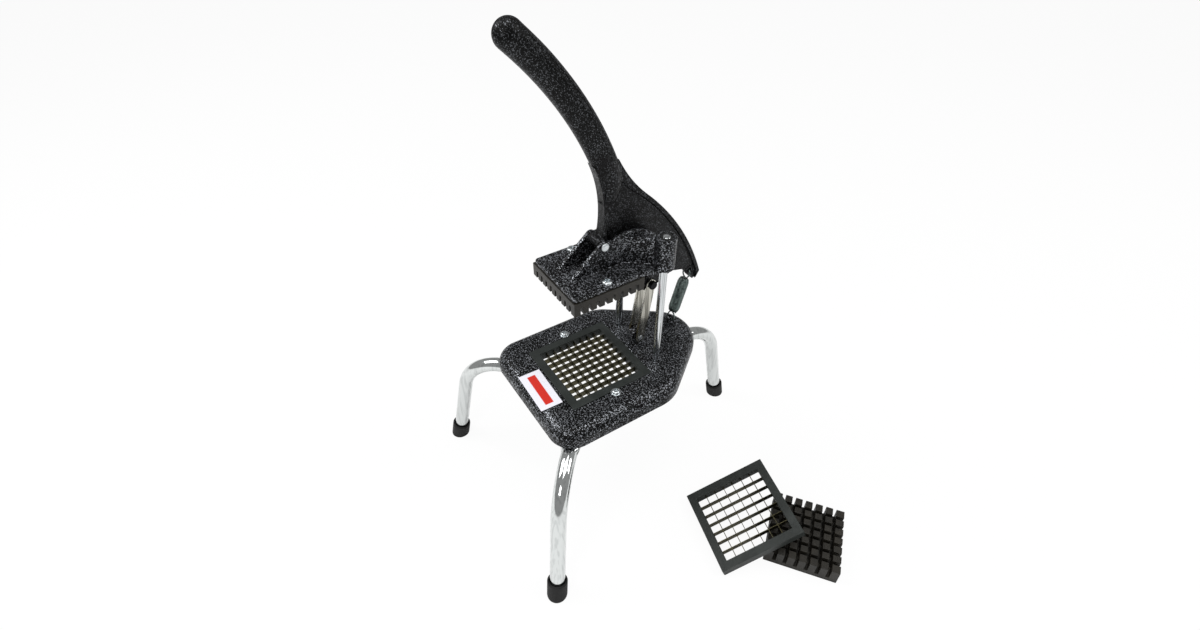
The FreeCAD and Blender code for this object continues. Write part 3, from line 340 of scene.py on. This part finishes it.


# Bright chrome over steel tube: mirror gloss, faint bending marks, and grey streaks along the tube that are
# painted reflection
CHROME = DrawnMetal(
    "chromed_steel_tube", "#d3d6d5", "#787c7d", roughness=0.06, spread=0.04, line_mm=(2.6, 2.6, 500.0),
    relief_mm=0.004, mark_mm=18.0, streak=0.25, mark=0.1)
# Ground rod with a film of oil: long bright lines
GROUND_ROD = DrawnMetal(
    "ground_steel_rod", "#cfd2d3", "#4d5153", roughness=0.1, spread=0.05, line_mm=(1.6, 1.6, 90.0),
    relief_mm=0.008, mark_mm=12.0, streak=0.85, mark=0.2)
# Nickel-plated flat bar: a warm grey, brushed along its length
NICKEL_BAR = DrawnMetal(
    "nickel_plated_bar", "#bdbbb2", "#5a5850", roughness=0.17, spread=0.06, line_mm=(1.2, 2.4, 60.0),
    relief_mm=0.015, mark_mm=30.0, streak=0.8, mark=0.3)
# Zinc-plated screws: dull bluish silver, blotched by the plating bath
ZINC = DrawnMetal(
    "zinc_plated_steel", "#d6dbdd", "#8d9397", roughness=0.24, spread=0.1, line_mm=(0.6, 0.6, 0.6),
    relief_mm=0.01, mark_mm=3.0)
# Oil-blacked bolt: near black with a dull sheen
BLACK_BOLT = DrawnMetal(
    "oil_blacked_steel", "#1b1c1e", "#0e0f10", roughness=0.36, spread=0.08, line_mm=(0.6, 0.6, 0.6),
    relief_mm=0.02, mark_mm=3.0)
# Ground stainless strip with fine grinding lines along the blade; its olive grey colour is painted reflection of
# the brownish tone on the blade sides
BLADE = DrawnMetal(
    "stainless_blade_strip", "#57533f", "#3a3829", roughness=0.3, spread=0.06, line_mm=(12.0, 12.0, 0.4),
    relief_mm=0.006, mark_mm=7.0, streak=0.5)
# Oil-tempered spring wire: grey-green, satin
SPRING_WIRE = DrawnMetal(
    "oil_tempered_spring_wire", "#67726f", "#36403e", roughness=0.3, spread=0.08, line_mm=(0.8, 0.8, 0.8),
    relief_mm=0.01, mark_mm=5.0)
# Turned polymer bush, loaded with graphite: black and matt
BUSH_POLYMER = MouldedSurface(
    "graphite_filled_bush", "#101111", "#1d1e1e", roughness=0.5, grain_mm=0.5, relief_mm=0.03, flow_mm=6.0)
# Glass-filled nylon, injection moulded: dark grey-green, evenly matt
GRID_NYLON = MouldedSurface("glass_filled_nylon", "#202422", "#2d312f", roughness=0.48)
# Acetal, injection moulded: olive black, a little waxy
PUSHER_ACETAL = MouldedSurface("moulded_acetal", "#181612", "#292620", roughness=0.44, grain_mm=0.8)
# Butadiene rubber, pressed: deep black and dull
RUBBER = MouldedSurface(
    "pressed_black_rubber", "#060606", "#101010", roughness=0.66, grain_mm=0.9, relief_mm=0.08, flow_mm=12.0,
    ior=1.52)
# Silver-vein powder coat on the castings: black, with close bright veins
PAINT = VeinPaint("silver_vein_powder_coat")
# The same coat on the lever, with finer veins; painted blacker, with fewer and dimmer veins, as painted shade
SHADED_LEVER_PAINT = VeinPaint(
    "worn_vein_powder_coat", "#020202", "#55575a", grain_mm=1.1, relief_mm=0.16, vein_start=0.635,
    vein_full=0.69)
LABEL = PrintedVinyl()

BODY_OF = {node: body for body, nodes in frame["record"]["behaviour"]["bodies"].items() for node in nodes}


def give_material(thing: bpy.types.Object, finish: Finish) -> None:
    """Puts one finish on every face of a new piece."""
    thing.data.materials.clear()
    thing.data.materials.append(finish.material())


def dress(node: str, finish: Finish) -> None:
    """Gives a CAD node that is shown as it is its finish.

    Args:
        node: The node's name.
        finish: What covers it.
    """
    for place in frame["nodes"][node].material_slots:
        place.material = finish.material()
    log.info("%s keeps its CAD mesh and gets %s", node, finish.name)


def add_piece(
    name: str,
    bm: bmesh.types.BMesh,
    finish: Finish,
    nodes: tuple[str, ...],
    weighted: bool = True,
    ride: bool = True,
) -> bpy.types.Object:
    """Turns a finished bmesh into a piece that stands for CAD nodes.

    Args:
        name: The piece's name.
        bm: Its mesh, in metres and in place; it is freed.
        finish: What covers it.
        nodes: The CAD nodes it replaces; its body is the first one's.
        weighted: Whether the flat faces keep flat normals beside their bevels.
        ride: Whether it rides on that body now.

    Returns:
        The new object.
    """
    mesh = bpy.data.meshes.new(name)
    bm.to_mesh(mesh)
    bm.free()
    mesh.shade_smooth()
    mesh.set_sharp_from_angle(angle=math.radians(50))
    piece = bpy.data.objects.new(name, mesh)
    bpy.context.scene.collection.objects.link(piece)
    give_material(piece, finish)
    if weighted:
        flat = piece.modifiers.new("FlatNormals", "WEIGHTED_NORMAL")
        flat.keep_sharp = True
    if ride:
        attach(piece, BODY_OF[nodes[0]])
    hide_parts(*nodes)
    log.info("%s, %d faces, %s, on %s", name, len(mesh.polygons), finish.name, BODY_OF[nodes[0]])
    return piece


def merged_copy(node: str) -> bmesh.types.BMesh:
    """Copies a CAD node's mesh, welded and with its flat areas joined to single faces.

    Args:
        node: The node's name.

    Returns:
        The bmesh, in place.
    """
    bm = bmesh.new()
    bm.from_mesh(frame["nodes"][node].data)
    bmesh.ops.remove_doubles(bm, verts=bm.verts, dist=0.002 * MM)
    bmesh.ops.dissolve_limit(
        bm, angle_limit=math.radians(0.3), use_dissolve_boundaries=False, verts=bm.verts, edges=bm.edges,
        delimit={"NORMAL"})
    return bm


def bevel(bm: bmesh.types.BMesh, edges: list[bmesh.types.BMEdge], width_mm: float, segments: int = 2) -> None:
    """Rounds edges by a width, with the settings of a plain round."""
    bmesh.ops.bevel(
        bm, geom=edges, offset=width_mm * MM, offset_type="OFFSET", segments=segments, profile=0.5,
        affect="EDGES", material=-1, clamp_overlap=False, loop_slide=True)


def soften(
    name: str,
    node: str,
    finish: Finish,
    width_mm: float,
    segments: int = 2,
    sharpest_deg: float = 32.0,
    only: Callable[[bmesh.types.BMEdge], bool] | None = None,
) -> bpy.types.Object:
    """Replaces a CAD node by its own shape with the soft edges of a cast, moulded or tumbled part.

    Args:
        name: The new piece's name.
        node: The CAD node.
        finish: What covers it.
        width_mm: The width of the rounded edges.
        segments: Faces across each rounded edge.
        sharpest_deg: Edges flatter than this stay as they are.
        only: A further test that an edge has to pass.

    Returns:
        The new piece.
    """
    bm = merged_copy(node)
    limit = math.radians(sharpest_deg)
    edges = [
        edge for edge in bm.edges
        if edge.is_manifold and edge.calc_face_angle(0.0) > limit and (only is None or only(edge))
    ]
    bevel(bm, edges, width_mm, segments)
    return add_piece(name, bm, finish, (node,))


def carved(mesh: bpy.types.Mesh, cutter: bpy.types.Mesh) -> bpy.types.Mesh:
    """Cuts one closed mesh out of another.

    Args:
        mesh: What is cut.
        cutter: What is taken out of it.

    Returns:
        The mesh that is left.
    """
    kept = bpy.data.objects.new("carved", mesh)
    tool = bpy.data.objects.new("cutter", cutter)
    for thing in (kept, tool):
        bpy.context.scene.collection.objects.link(thing)
    cut = kept.modifiers.new("Cut", "BOOLEAN")
    cut.object = tool
    cut.operation = "DIFFERENCE"
    cut.solver = "EXACT"
    cut.use_self = True
    bpy.context.view_layer.update()
    result = bpy.data.meshes.new_from_object(kept.evaluated_get(bpy.context.evaluated_depsgraph_get()))
    for thing in (kept, tool):
        bpy.data.objects.remove(thing)
    return result


@dataclass
class PanHeadScrews:
    """A pair of pan-head screws with a cross recess, one each side of the middle."""

    name: str
    node: str
    x: float
    y: float
    seat_z: float
    head_radius: float
    head_height: float = 2.6
    crown: float = 0.8  # share of the height that is rounded off
    crown_segments: int = 6
    shank_radius: float = 2.4
    shank_length: float = 3.0
    recess_length: float = 5.2
    recess_width: float = 1.4
    recess_depth: float = 1.7
    turns_deg: tuple[float, float] = (20.0, 65.0)

    def head(self) -> bpy.types.Mesh:
        """Makes one screw head at the origin, with its recess cut out.

        Returns:
            The mesh, in metres.
        """
        bm = bmesh.new()
        up = Matrix.Translation((0, 0, self.head_height / 2 * MM))
        bmesh.ops.create_cone(
            bm, cap_ends=True, segments=40, radius1=self.head_radius * MM, radius2=self.head_radius * MM,
            depth=self.head_height * MM, matrix=up)
        middle = self.head_height / 2 * MM
        rim = [edge for edge in bm.edges if all(vert.co.z > middle for vert in edge.verts)]
        bevel(bm, rim, self.head_height * self.crown, self.crown_segments)
        mesh = bpy.data.meshes.new("head")
        bm.to_mesh(mesh)
        bm.free()
        cross = bmesh.new()
        top = Matrix.Translation((0, 0, self.head_height * MM))
        size = Matrix.Diagonal(
            (self.recess_length * MM, self.recess_width * MM, 2 * self.recess_depth * MM, 1))
        for turn in (0.0, math.pi / 2):
            bmesh.ops.create_cube(cross, size=1.0, matrix=top @ Matrix.Rotation(turn, 4, "Z") @ size)
        cutter = bpy.data.meshes.new("cross")
        cross.to_mesh(cutter)
        cross.free()
        return carved(mesh, cutter)

    def build(self) -> bpy.types.Object:
        """Sets both screws in place.

        Returns:
            The piece that holds both.
        """
        bm = bmesh.new()
        mesh = self.head()
        shank = Matrix.Translation((0, 0, -self.shank_length / 2 * MM))
        for side, turn in zip(Side, self.turns_deg):
            at = Matrix.Translation((side.value * self.x * MM, self.y * MM, self.seat_z * MM))
            placed = mesh.copy()
            placed.transform(at @ Matrix.Rotation(math.radians(turn), 4, "Z"))
            bm.from_mesh(placed)
            bpy.data.meshes.remove(placed)
            bmesh.ops.create_cone(
                bm, cap_ends=True, segments=24, radius1=self.shank_radius * MM,
                radius2=self.shank_radius * MM, depth=self.shank_length * MM, matrix=at @ shank)
        return add_piece(self.name, bm, ZINC, (self.node,), weighted=False)


@dataclass
class BasePlate:
    """The hollow deck casting with its label, guide rods and their nuts."""

    casting_edge: float = 0.7
    rod_edge: float = 0.7
    nut_edge: float = 0.5
    pin_edge: float = 0.5

    def build(self) -> None:
        """Softens the casting and the turned parts, and dresses the label."""
        soften("deck_casting", "base_plate", PAINT, self.casting_edge)
        for side in Side:
            word = side.name.lower()
            soften(f"guide_rod_chamfered_{word}", f"guide_rod_{word}", GROUND_ROD, self.rod_edge)
        soften("guide_rod_hex_nuts", "guide_rod_nuts", ZINC, self.nut_edge)
        soften("link_foot_pin_turned", "link_foot_pin", ZINC, self.pin_edge)
        dress("front_label", LABEL)


@dataclass
class Legs:
    """Three bent tube legs, their bolts and rubber caps."""

    names: tuple[str, ...] = ("front_left", "front_right", "rear")
    cap_edge: float = 1.6
    cap_segments: int = 4
    bolt_edge: float = 0.5

    def build(self) -> None:
        """Dresses the tubes and rounds the caps."""
        for name in self.names:
            dress(f"leg_{name}", CHROME)
            soften(f"rubber_cap_{name}", f"foot_{name}", RUBBER, self.cap_edge, self.cap_segments)
        soften("leg_hex_bolts", "leg_bolts", ZINC, self.bolt_edge)


@dataclass
class KnifeGrid:
    """A plastic frame with its two sets of blades."""

    prefix: str
    frame_edge: float = 0.45

    def build(self) -> None:
        """Rounds the frame's edges and dresses the blades."""
        soften(f"{self.prefix}grid_moulding", f"{self.prefix}knife_frame", GRID_NYLON, self.frame_edge)
        for way in ("lengthwise", "crosswise"):
            dress(f"{self.prefix}blades_{way}", BLADE)


@dataclass
class Carriage:
    """The sliding casting with its bushes, pin and pusher."""

    casting_edge: float = 0.8
    bush_edge: float = 0.4
    pin_edge: float = 0.5
    ring_edge: float = 0.25
    tooth_edge: float = 0.35

    def build(self) -> None:
        """Softens the casting and everything that it carries."""
        soften("carriage_casting", "carriage", PAINT, self.casting_edge)
        for side in Side:
            word = side.name.lower()
            soften(f"bush_{word}_faced", f"guide_bush_{word}", BUSH_POLYMER, self.bush_edge)
        soften("pusher_moulding", "pusher_block", PUSHER_ACETAL, self.tooth_edge)
        soften("lever_pin_turned", "handle_pin", ZINC, self.pin_edge)
        soften("lever_pin_ring_pressed", "handle_pin_ring", ZINC, self.ring_edge)


@dataclass
class Lever:
    """The lever casting, with the two fine beads along each side of its grip."""

    casting_edge: float = 0.9
    arc_centre: tuple[float, float] = (-297.0, 268.0)  # Y and Z of the middle of the grip's arc
    arc_radius: float = 340.0
    bead_radius: float = 0.55
    bead_offsets: tuple[float, float] = (4.6, 8.2)  # from the grip's centre line, away from the user
    half_depth: float = 11.5  # half the oval of the grip, along the arc's radius
    half_width: float = 10.0  # and across it
    from_deg: float = 23.0  # where on the arc the beads begin, near the root
    to_deg: float = 44.5  # where they end, near the tip
    steps: int = 48

    def beads(self) -> bmesh.types.BMesh:
        """Sweeps each bead along the grip's own arc, half sunk in its oval surface.

        Returns:
            The bmesh of all four beads.
        """
        bm = bmesh.new()
        centre = Vector((0, self.arc_centre[0] * MM, self.arc_centre[1] * MM))
        for side in Side:
            for offset in self.bead_offsets:
                across = self.half_width * math.sqrt(1 - (offset / self.half_depth) ** 2)
                reach = self.arc_radius + offset
                at = Matrix.Translation((side.value * across * MM, centre.y + reach * MM, centre.z))
                verts = bmesh.ops.create_circle(
                    bm, cap_ends=True, segments=8, radius=self.bead_radius * MM, matrix=at)["verts"]
                start = Matrix.Rotation(math.radians(self.from_deg), 3, "X")
                bmesh.ops.rotate(bm, cent=centre, matrix=start, verts=verts)
                faces = list({face for vert in verts for face in vert.link_faces})
                bmesh.ops.spin(
                    bm, geom=faces, cent=centre, axis=(1, 0, 0), dvec=(0, 0, 0),
                    angle=math.radians(self.to_deg - self.from_deg), steps=self.steps, use_duplicate=False)
        bmesh.ops.recalc_face_normals(bm, faces=bm.faces)
        return bm

    def build(self) -> None:
        """Softens the casting and lays the beads on it."""
        # the lever's blacker coat is painted shade
        soften("lever_casting", "handle", SHADED_LEVER_PAINT, self.casting_edge)
        mesh = bpy.data.meshes.new("grip_beads")
        bm = self.beads()
        bm.to_mesh(mesh)
        bm.free()
        mesh.shade_smooth()
        piece = bpy.data.objects.new("grip_beads", mesh)
        bpy.context.scene.collection.objects.link(piece)
        give_material(piece, SHADED_LEVER_PAINT)
        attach(piece, Body.LEVER.value)
        log.info("grip_beads, %d faces, on the lever", len(mesh.polygons))
        dress("fulcrum_pin", ZINC)


@dataclass
class LinkPair:
    """The two flat bars beside the lever's lug, with the fulcrum bolt's ends."""

    bar_edge: float = 0.5
    bolt_edge: float = 0.9
    bolt_segments: int = 3

    def build(self) -> None:
        """Softens the bars and the bolt's ends."""
        for side in Side:
            word = side.name.lower()
            soften(f"link_bar_{word}", f"link_{word}", NICKEL_BAR, self.bar_edge)
        for piece, node in (("cap", "head"), ("end", "nut")):
            soften(f"fulcrum_bolt_{piece}", f"fulcrum_bolt_{node}", BLACK_BOLT, self.bolt_edge, self.bolt_segments)


@dataclass
class ReturnSpring:
    """The extension spring: a close coil that narrows to a hook at each end."""

    foot: tuple[float, float] = (109.0, 180.0)  # Y and Z of the lower eye
    head: tuple[float, float] = (127.0, 244.0)  # Y and Z of the upper eye
    coil_radius: float = 5.68  # to the wire's middle
    wire_radius: float = 0.8
    hook_radius: float = 5.0
    hook_height: float = 10.8
    pitch: float = 1.8
    steps: int = 24  # per turn
    wire_sides: int = 8
    narrow_length: float = 7.0  # over which each end of the coil narrows
    narrow_by: float = 1.7
    hook_turn_deg: float = 320.0
    hook_steps: int = 40

    def __post_init__(self) -> None:
        """Works out the spring's axis."""
        y, z = (end - start for end, start in zip(self.head, self.foot))
        self.length = math.hypot(y, z)
        self.placed = (Matrix.Translation((0, self.foot[0] * MM, self.foot[1] * MM))
                       @ Matrix.Rotation(-math.atan2(y, z), 4, "X"))

    def wire_end(self, bm: bmesh.types.BMesh, at: Matrix) -> list[bmesh.types.BMFace]:
        """Adds the round end of a wire, which is then spun along its way.

        Args:
            bm: The bmesh that gets it.
            at: Where it stands.

        Returns:
            Its face.
        """
        ring = bmesh.ops.create_circle(
            bm, cap_ends=True, segments=self.wire_sides, radius=self.wire_radius * MM, matrix=at)
        return list({face for vert in ring["verts"] for face in vert.link_faces})

    def coil(self) -> bmesh.types.BMesh:
        """Winds the coil between the hooks and narrows both of its ends.

        Returns:
            The bmesh, in place.
        """
        bm = bmesh.new()
        low = self.hook_height + self.wire_radius
        high = self.length - self.hook_height - self.wire_radius
        turns = (high - low) / self.pitch
        at = Matrix.Translation((self.coil_radius * MM, 0, low * MM)) @ Matrix.Rotation(math.pi / 2, 4, "X")
        faces = self.wire_end(bm, at)
        count = round(turns * self.steps)
        bmesh.ops.spin(
            bm, geom=faces, cent=(0, 0, 0), axis=(0, 0, 1), dvec=(0, 0, (high - low) * MM / count),
            angle=turns * math.tau, steps=count, use_duplicate=False)
        bmesh.ops.recalc_face_normals(bm, faces=bm.faces)
        for vert in bm.verts:
            end = min(vert.co.z / MM - low, high - vert.co.z / MM)
            share = min(max(1 - end / self.narrow_length, 0), 1) ** 2
            flat = Vector((vert.co.x, vert.co.y, 0))
            vert.co -= flat.normalized() * share * self.narrow_by * MM
        bm.transform(self.placed)
        return bm

    def hook(self, middle: float, start_deg: float) -> bmesh.types.BMesh:
        """Bends one hook round the eye that it holds.

        Args:
            middle: Where the loop's middle is along the spring.
            start_deg: Where the loop starts, from the spring's own axis.

        Returns:
            The bmesh, in place.
        """
        bm = bmesh.new()
        cent = Vector((0, 0, middle * MM))
        at = Matrix.Translation(cent) @ Matrix.Rotation(math.radians(start_deg), 4, "Y")
        at = at @ Matrix.Translation((0, 0, self.hook_radius * MM)) @ Matrix.Rotation(math.pi / 2, 4, "Y")
        faces = self.wire_end(bm, at)
        bmesh.ops.spin(
            bm, geom=faces, cent=cent, axis=(0, 1, 0), dvec=(0, 0, 0),
            angle=math.radians(self.hook_turn_deg), steps=self.hook_steps, use_duplicate=False)
        bmesh.ops.recalc_face_normals(bm, faces=bm.faces)
        bm.transform(self.placed)
        return bm

    def build(self) -> None:
        """Adds the coil, which rides on no body, and the hooks."""
        coil = add_piece("spring_wire_coil", self.coil(), SPRING_WIRE, ("spring_coil", "spring_end_turn"),
                         weighted=False, ride=False)
        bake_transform(coil)
        hooks = (("lower", self.hook_radius, 0.0), ("upper", self.length - self.hook_radius, 180.0))
        for word, middle, turn in hooks:
            add_piece(f"spring_wire_hook_{word}", self.hook(middle, turn), SPRING_WIRE, (f"spring_hook_{word}",),
                      weighted=False)


@dataclass
class SpareSet:
    """The second grid, leaning on its pusher beside the press."""

    tooth_edge: float = 0.35

    def build(self) -> None:
        """Builds the wide grid and softens the wide pusher."""
        KnifeGrid("spare_").build()
        soften("spare_pusher_moulding", "spare_pusher_block", PUSHER_ACETAL, self.tooth_edge)


def seen_directly(tree: bpy.types.NodeTree) -> bpy.types.NodeSocket:
    """Tells the camera's own rays, also through glass, from the rays that light the object.

    Args:
        tree: The node tree of the floor or the world.

    Returns:
        A socket that is 1 for camera and transmission rays.
    """
    path = add_node(tree, "ShaderNodeLightPath")
    seen = add_node(tree, "ShaderNodeMath", {"operation": "MAXIMUM"}, {
        0: path.outputs["Is Camera Ray"], 1: path.outputs["Is Transmission Ray"]})
    return seen.outputs[0]


@dataclass
class Lamp:
    """A square soft box, aimed at the press."""

    name: str
    place: tuple[float, float, float]
    side: float
    watts: float


@dataclass
class Studio:
    """The pale floor, the soft boxes, the world and the camera at the photograph's place."""

    floor_side: float = 12.0  # this and what follows in metres and watts
    floor_colour: str = "#f6f6f6"
    floor_glow: float = 0.93  # share of plain white that the floor shows to the camera
    world_light: float = 0.35
    target: tuple[float, float, float] = (0.0, 0.04, 0.21)
    camera_place: tuple[float, float, float] = (0.39002, -0.24302, 0.63494)
    azimuth_deg: float = 57.287
    elevation_deg: float = 40.881
    lens_mm: float = 18.18
    shift_x: float = 0.0044
    lamps: list[Lamp] = field(default_factory=lambda: [
        Lamp("key_softbox", (-0.9, -1.0, 1.5), 0.9, 16.0),
        Lamp("rim_softbox", (0.9, 1.2, 1.3), 0.7, 10.0),
        Lamp("top_softbox", (0.2, 0.0, 2.0), 1.2, 14.0),
        Lamp("corner_softbox", (0.65, -1.0, 1.1), 0.4, 5.0),
    ])

    def floor(self) -> None:
        """Lays the floor at the feet."""
        bm = bmesh.new()
        bmesh.ops.create_grid(bm, x_segments=1, y_segments=1, size=self.floor_side / 2)
        mesh = bpy.data.meshes.new("studio_floor")
        bm.to_mesh(mesh)
        bm.free()
        floor = bpy.data.objects.new("studio_floor", mesh)
        bpy.context.scene.collection.objects.link(floor)
        paper = bpy.data.materials.new("studio_paper")
        paper.use_nodes = True
        tree = paper.node_tree
        tree.nodes.clear()
        matt = add_node(tree, "ShaderNodeBsdfDiffuse", inputs={"Color": linear(self.floor_colour)})
        glow = add_node(tree, "ShaderNodeEmission", inputs={"Color": linear("#ffffff"), "Strength": 1.0})
        share = add_node(tree, "ShaderNodeMath", {"operation": "MULTIPLY"}, {
            0: seen_directly(tree), 1: self.floor_glow})
        paper_mix = add_node(tree, "ShaderNodeMixShader", inputs={
            0: share.outputs[0], 1: matt.outputs["BSDF"], 2: glow.outputs["Emission"]})
        add_node(tree, "ShaderNodeOutputMaterial", inputs={"Surface": paper_mix.outputs["Shader"]})
        mesh.materials.append(paper)

    def world(self) -> None:
        """Lights softly from all round, and shows white to the camera."""
        world = bpy.data.worlds.new("studio_world")
        world.use_nodes = True
        tree = world.node_tree
        tree.nodes.clear()
        level = add_node(tree, "ShaderNodeMapRange", inputs={
            "Value": seen_directly(tree), "To Min": self.world_light, "To Max": 1.0})
        light = add_node(tree, "ShaderNodeBackground", inputs={
            "Color": linear("#ffffff"), "Strength": level.outputs["Result"]})
        add_node(tree, "ShaderNodeOutputWorld", inputs={"Surface": light.outputs["Background"]})
        bpy.context.scene.world = world

    def lights(self) -> None:
        """Hangs the soft boxes."""
        for lamp in self.lamps:
            box = bpy.data.lights.new(lamp.name, "AREA")
            box.shape = "SQUARE"
            box.size = lamp.side
            box.energy = lamp.watts
            thing = bpy.data.objects.new(lamp.name, box)
            thing.location = lamp.place
            away = Vector(self.target) - Vector(lamp.place)
            thing.rotation_mode = "QUATERNION"
            thing.rotation_quaternion = away.to_track_quat("-Z", "Y")
            bpy.context.scene.collection.objects.link(thing)

    def camera(self) -> None:
        """Sets up the camera where the photograph was taken from."""
        lens = bpy.data.cameras.new("photo_camera")
        lens.sensor_width = 36.0
        lens.lens = self.lens_mm
        lens.shift_x = self.shift_x
        lens.clip_start, lens.clip_end = 0.01, 50.0
        camera = bpy.data.objects.new("photo_camera", lens)
        turn, rise = math.radians(self.azimuth_deg), math.radians(self.elevation_deg)
        back = Vector((math.sin(turn) * math.cos(rise), -math.cos(turn) * math.cos(rise), math.sin(rise)))
        camera.location = self.camera_place
        camera.rotation_mode = "QUATERNION"
        camera.rotation_quaternion = (-back).to_track_quat("-Z", "Y")
        bpy.context.scene.collection.objects.link(camera)
        bpy.context.scene.camera = camera

    def build(self) -> None:
        """Sets up the whole studio."""
        self.camera()
        self.floor()
        self.world()
        self.lights()
        bpy.context.scene.view_settings.view_transform = "Standard"


def main() -> None:
    """Builds the press, its spare set and the studio."""
    BasePlate().build()
    Legs().build()
    KnifeGrid("").build()
    PanHeadScrews("grid_screws", "knife_frame_screws", x=51.7, y=0.0, seat_z=171.0, head_radius=4.2).build()
    soften("grid_washers_pressed", "knife_frame_washers", ZINC, width_mm=0.25)
    Carriage().build()
    PanHeadScrews("pusher_pan_screws", "pusher_screws", x=31.0, y=1.0, seat_z=298.0, head_radius=4.9,
                  turns_deg=(5.0, 40.0)).build()
    Lever().build()
    LinkPair().build()
    ReturnSpring().build()
    SpareSet().build()
    Studio().build()


if __name__ == "__main__":
    main()
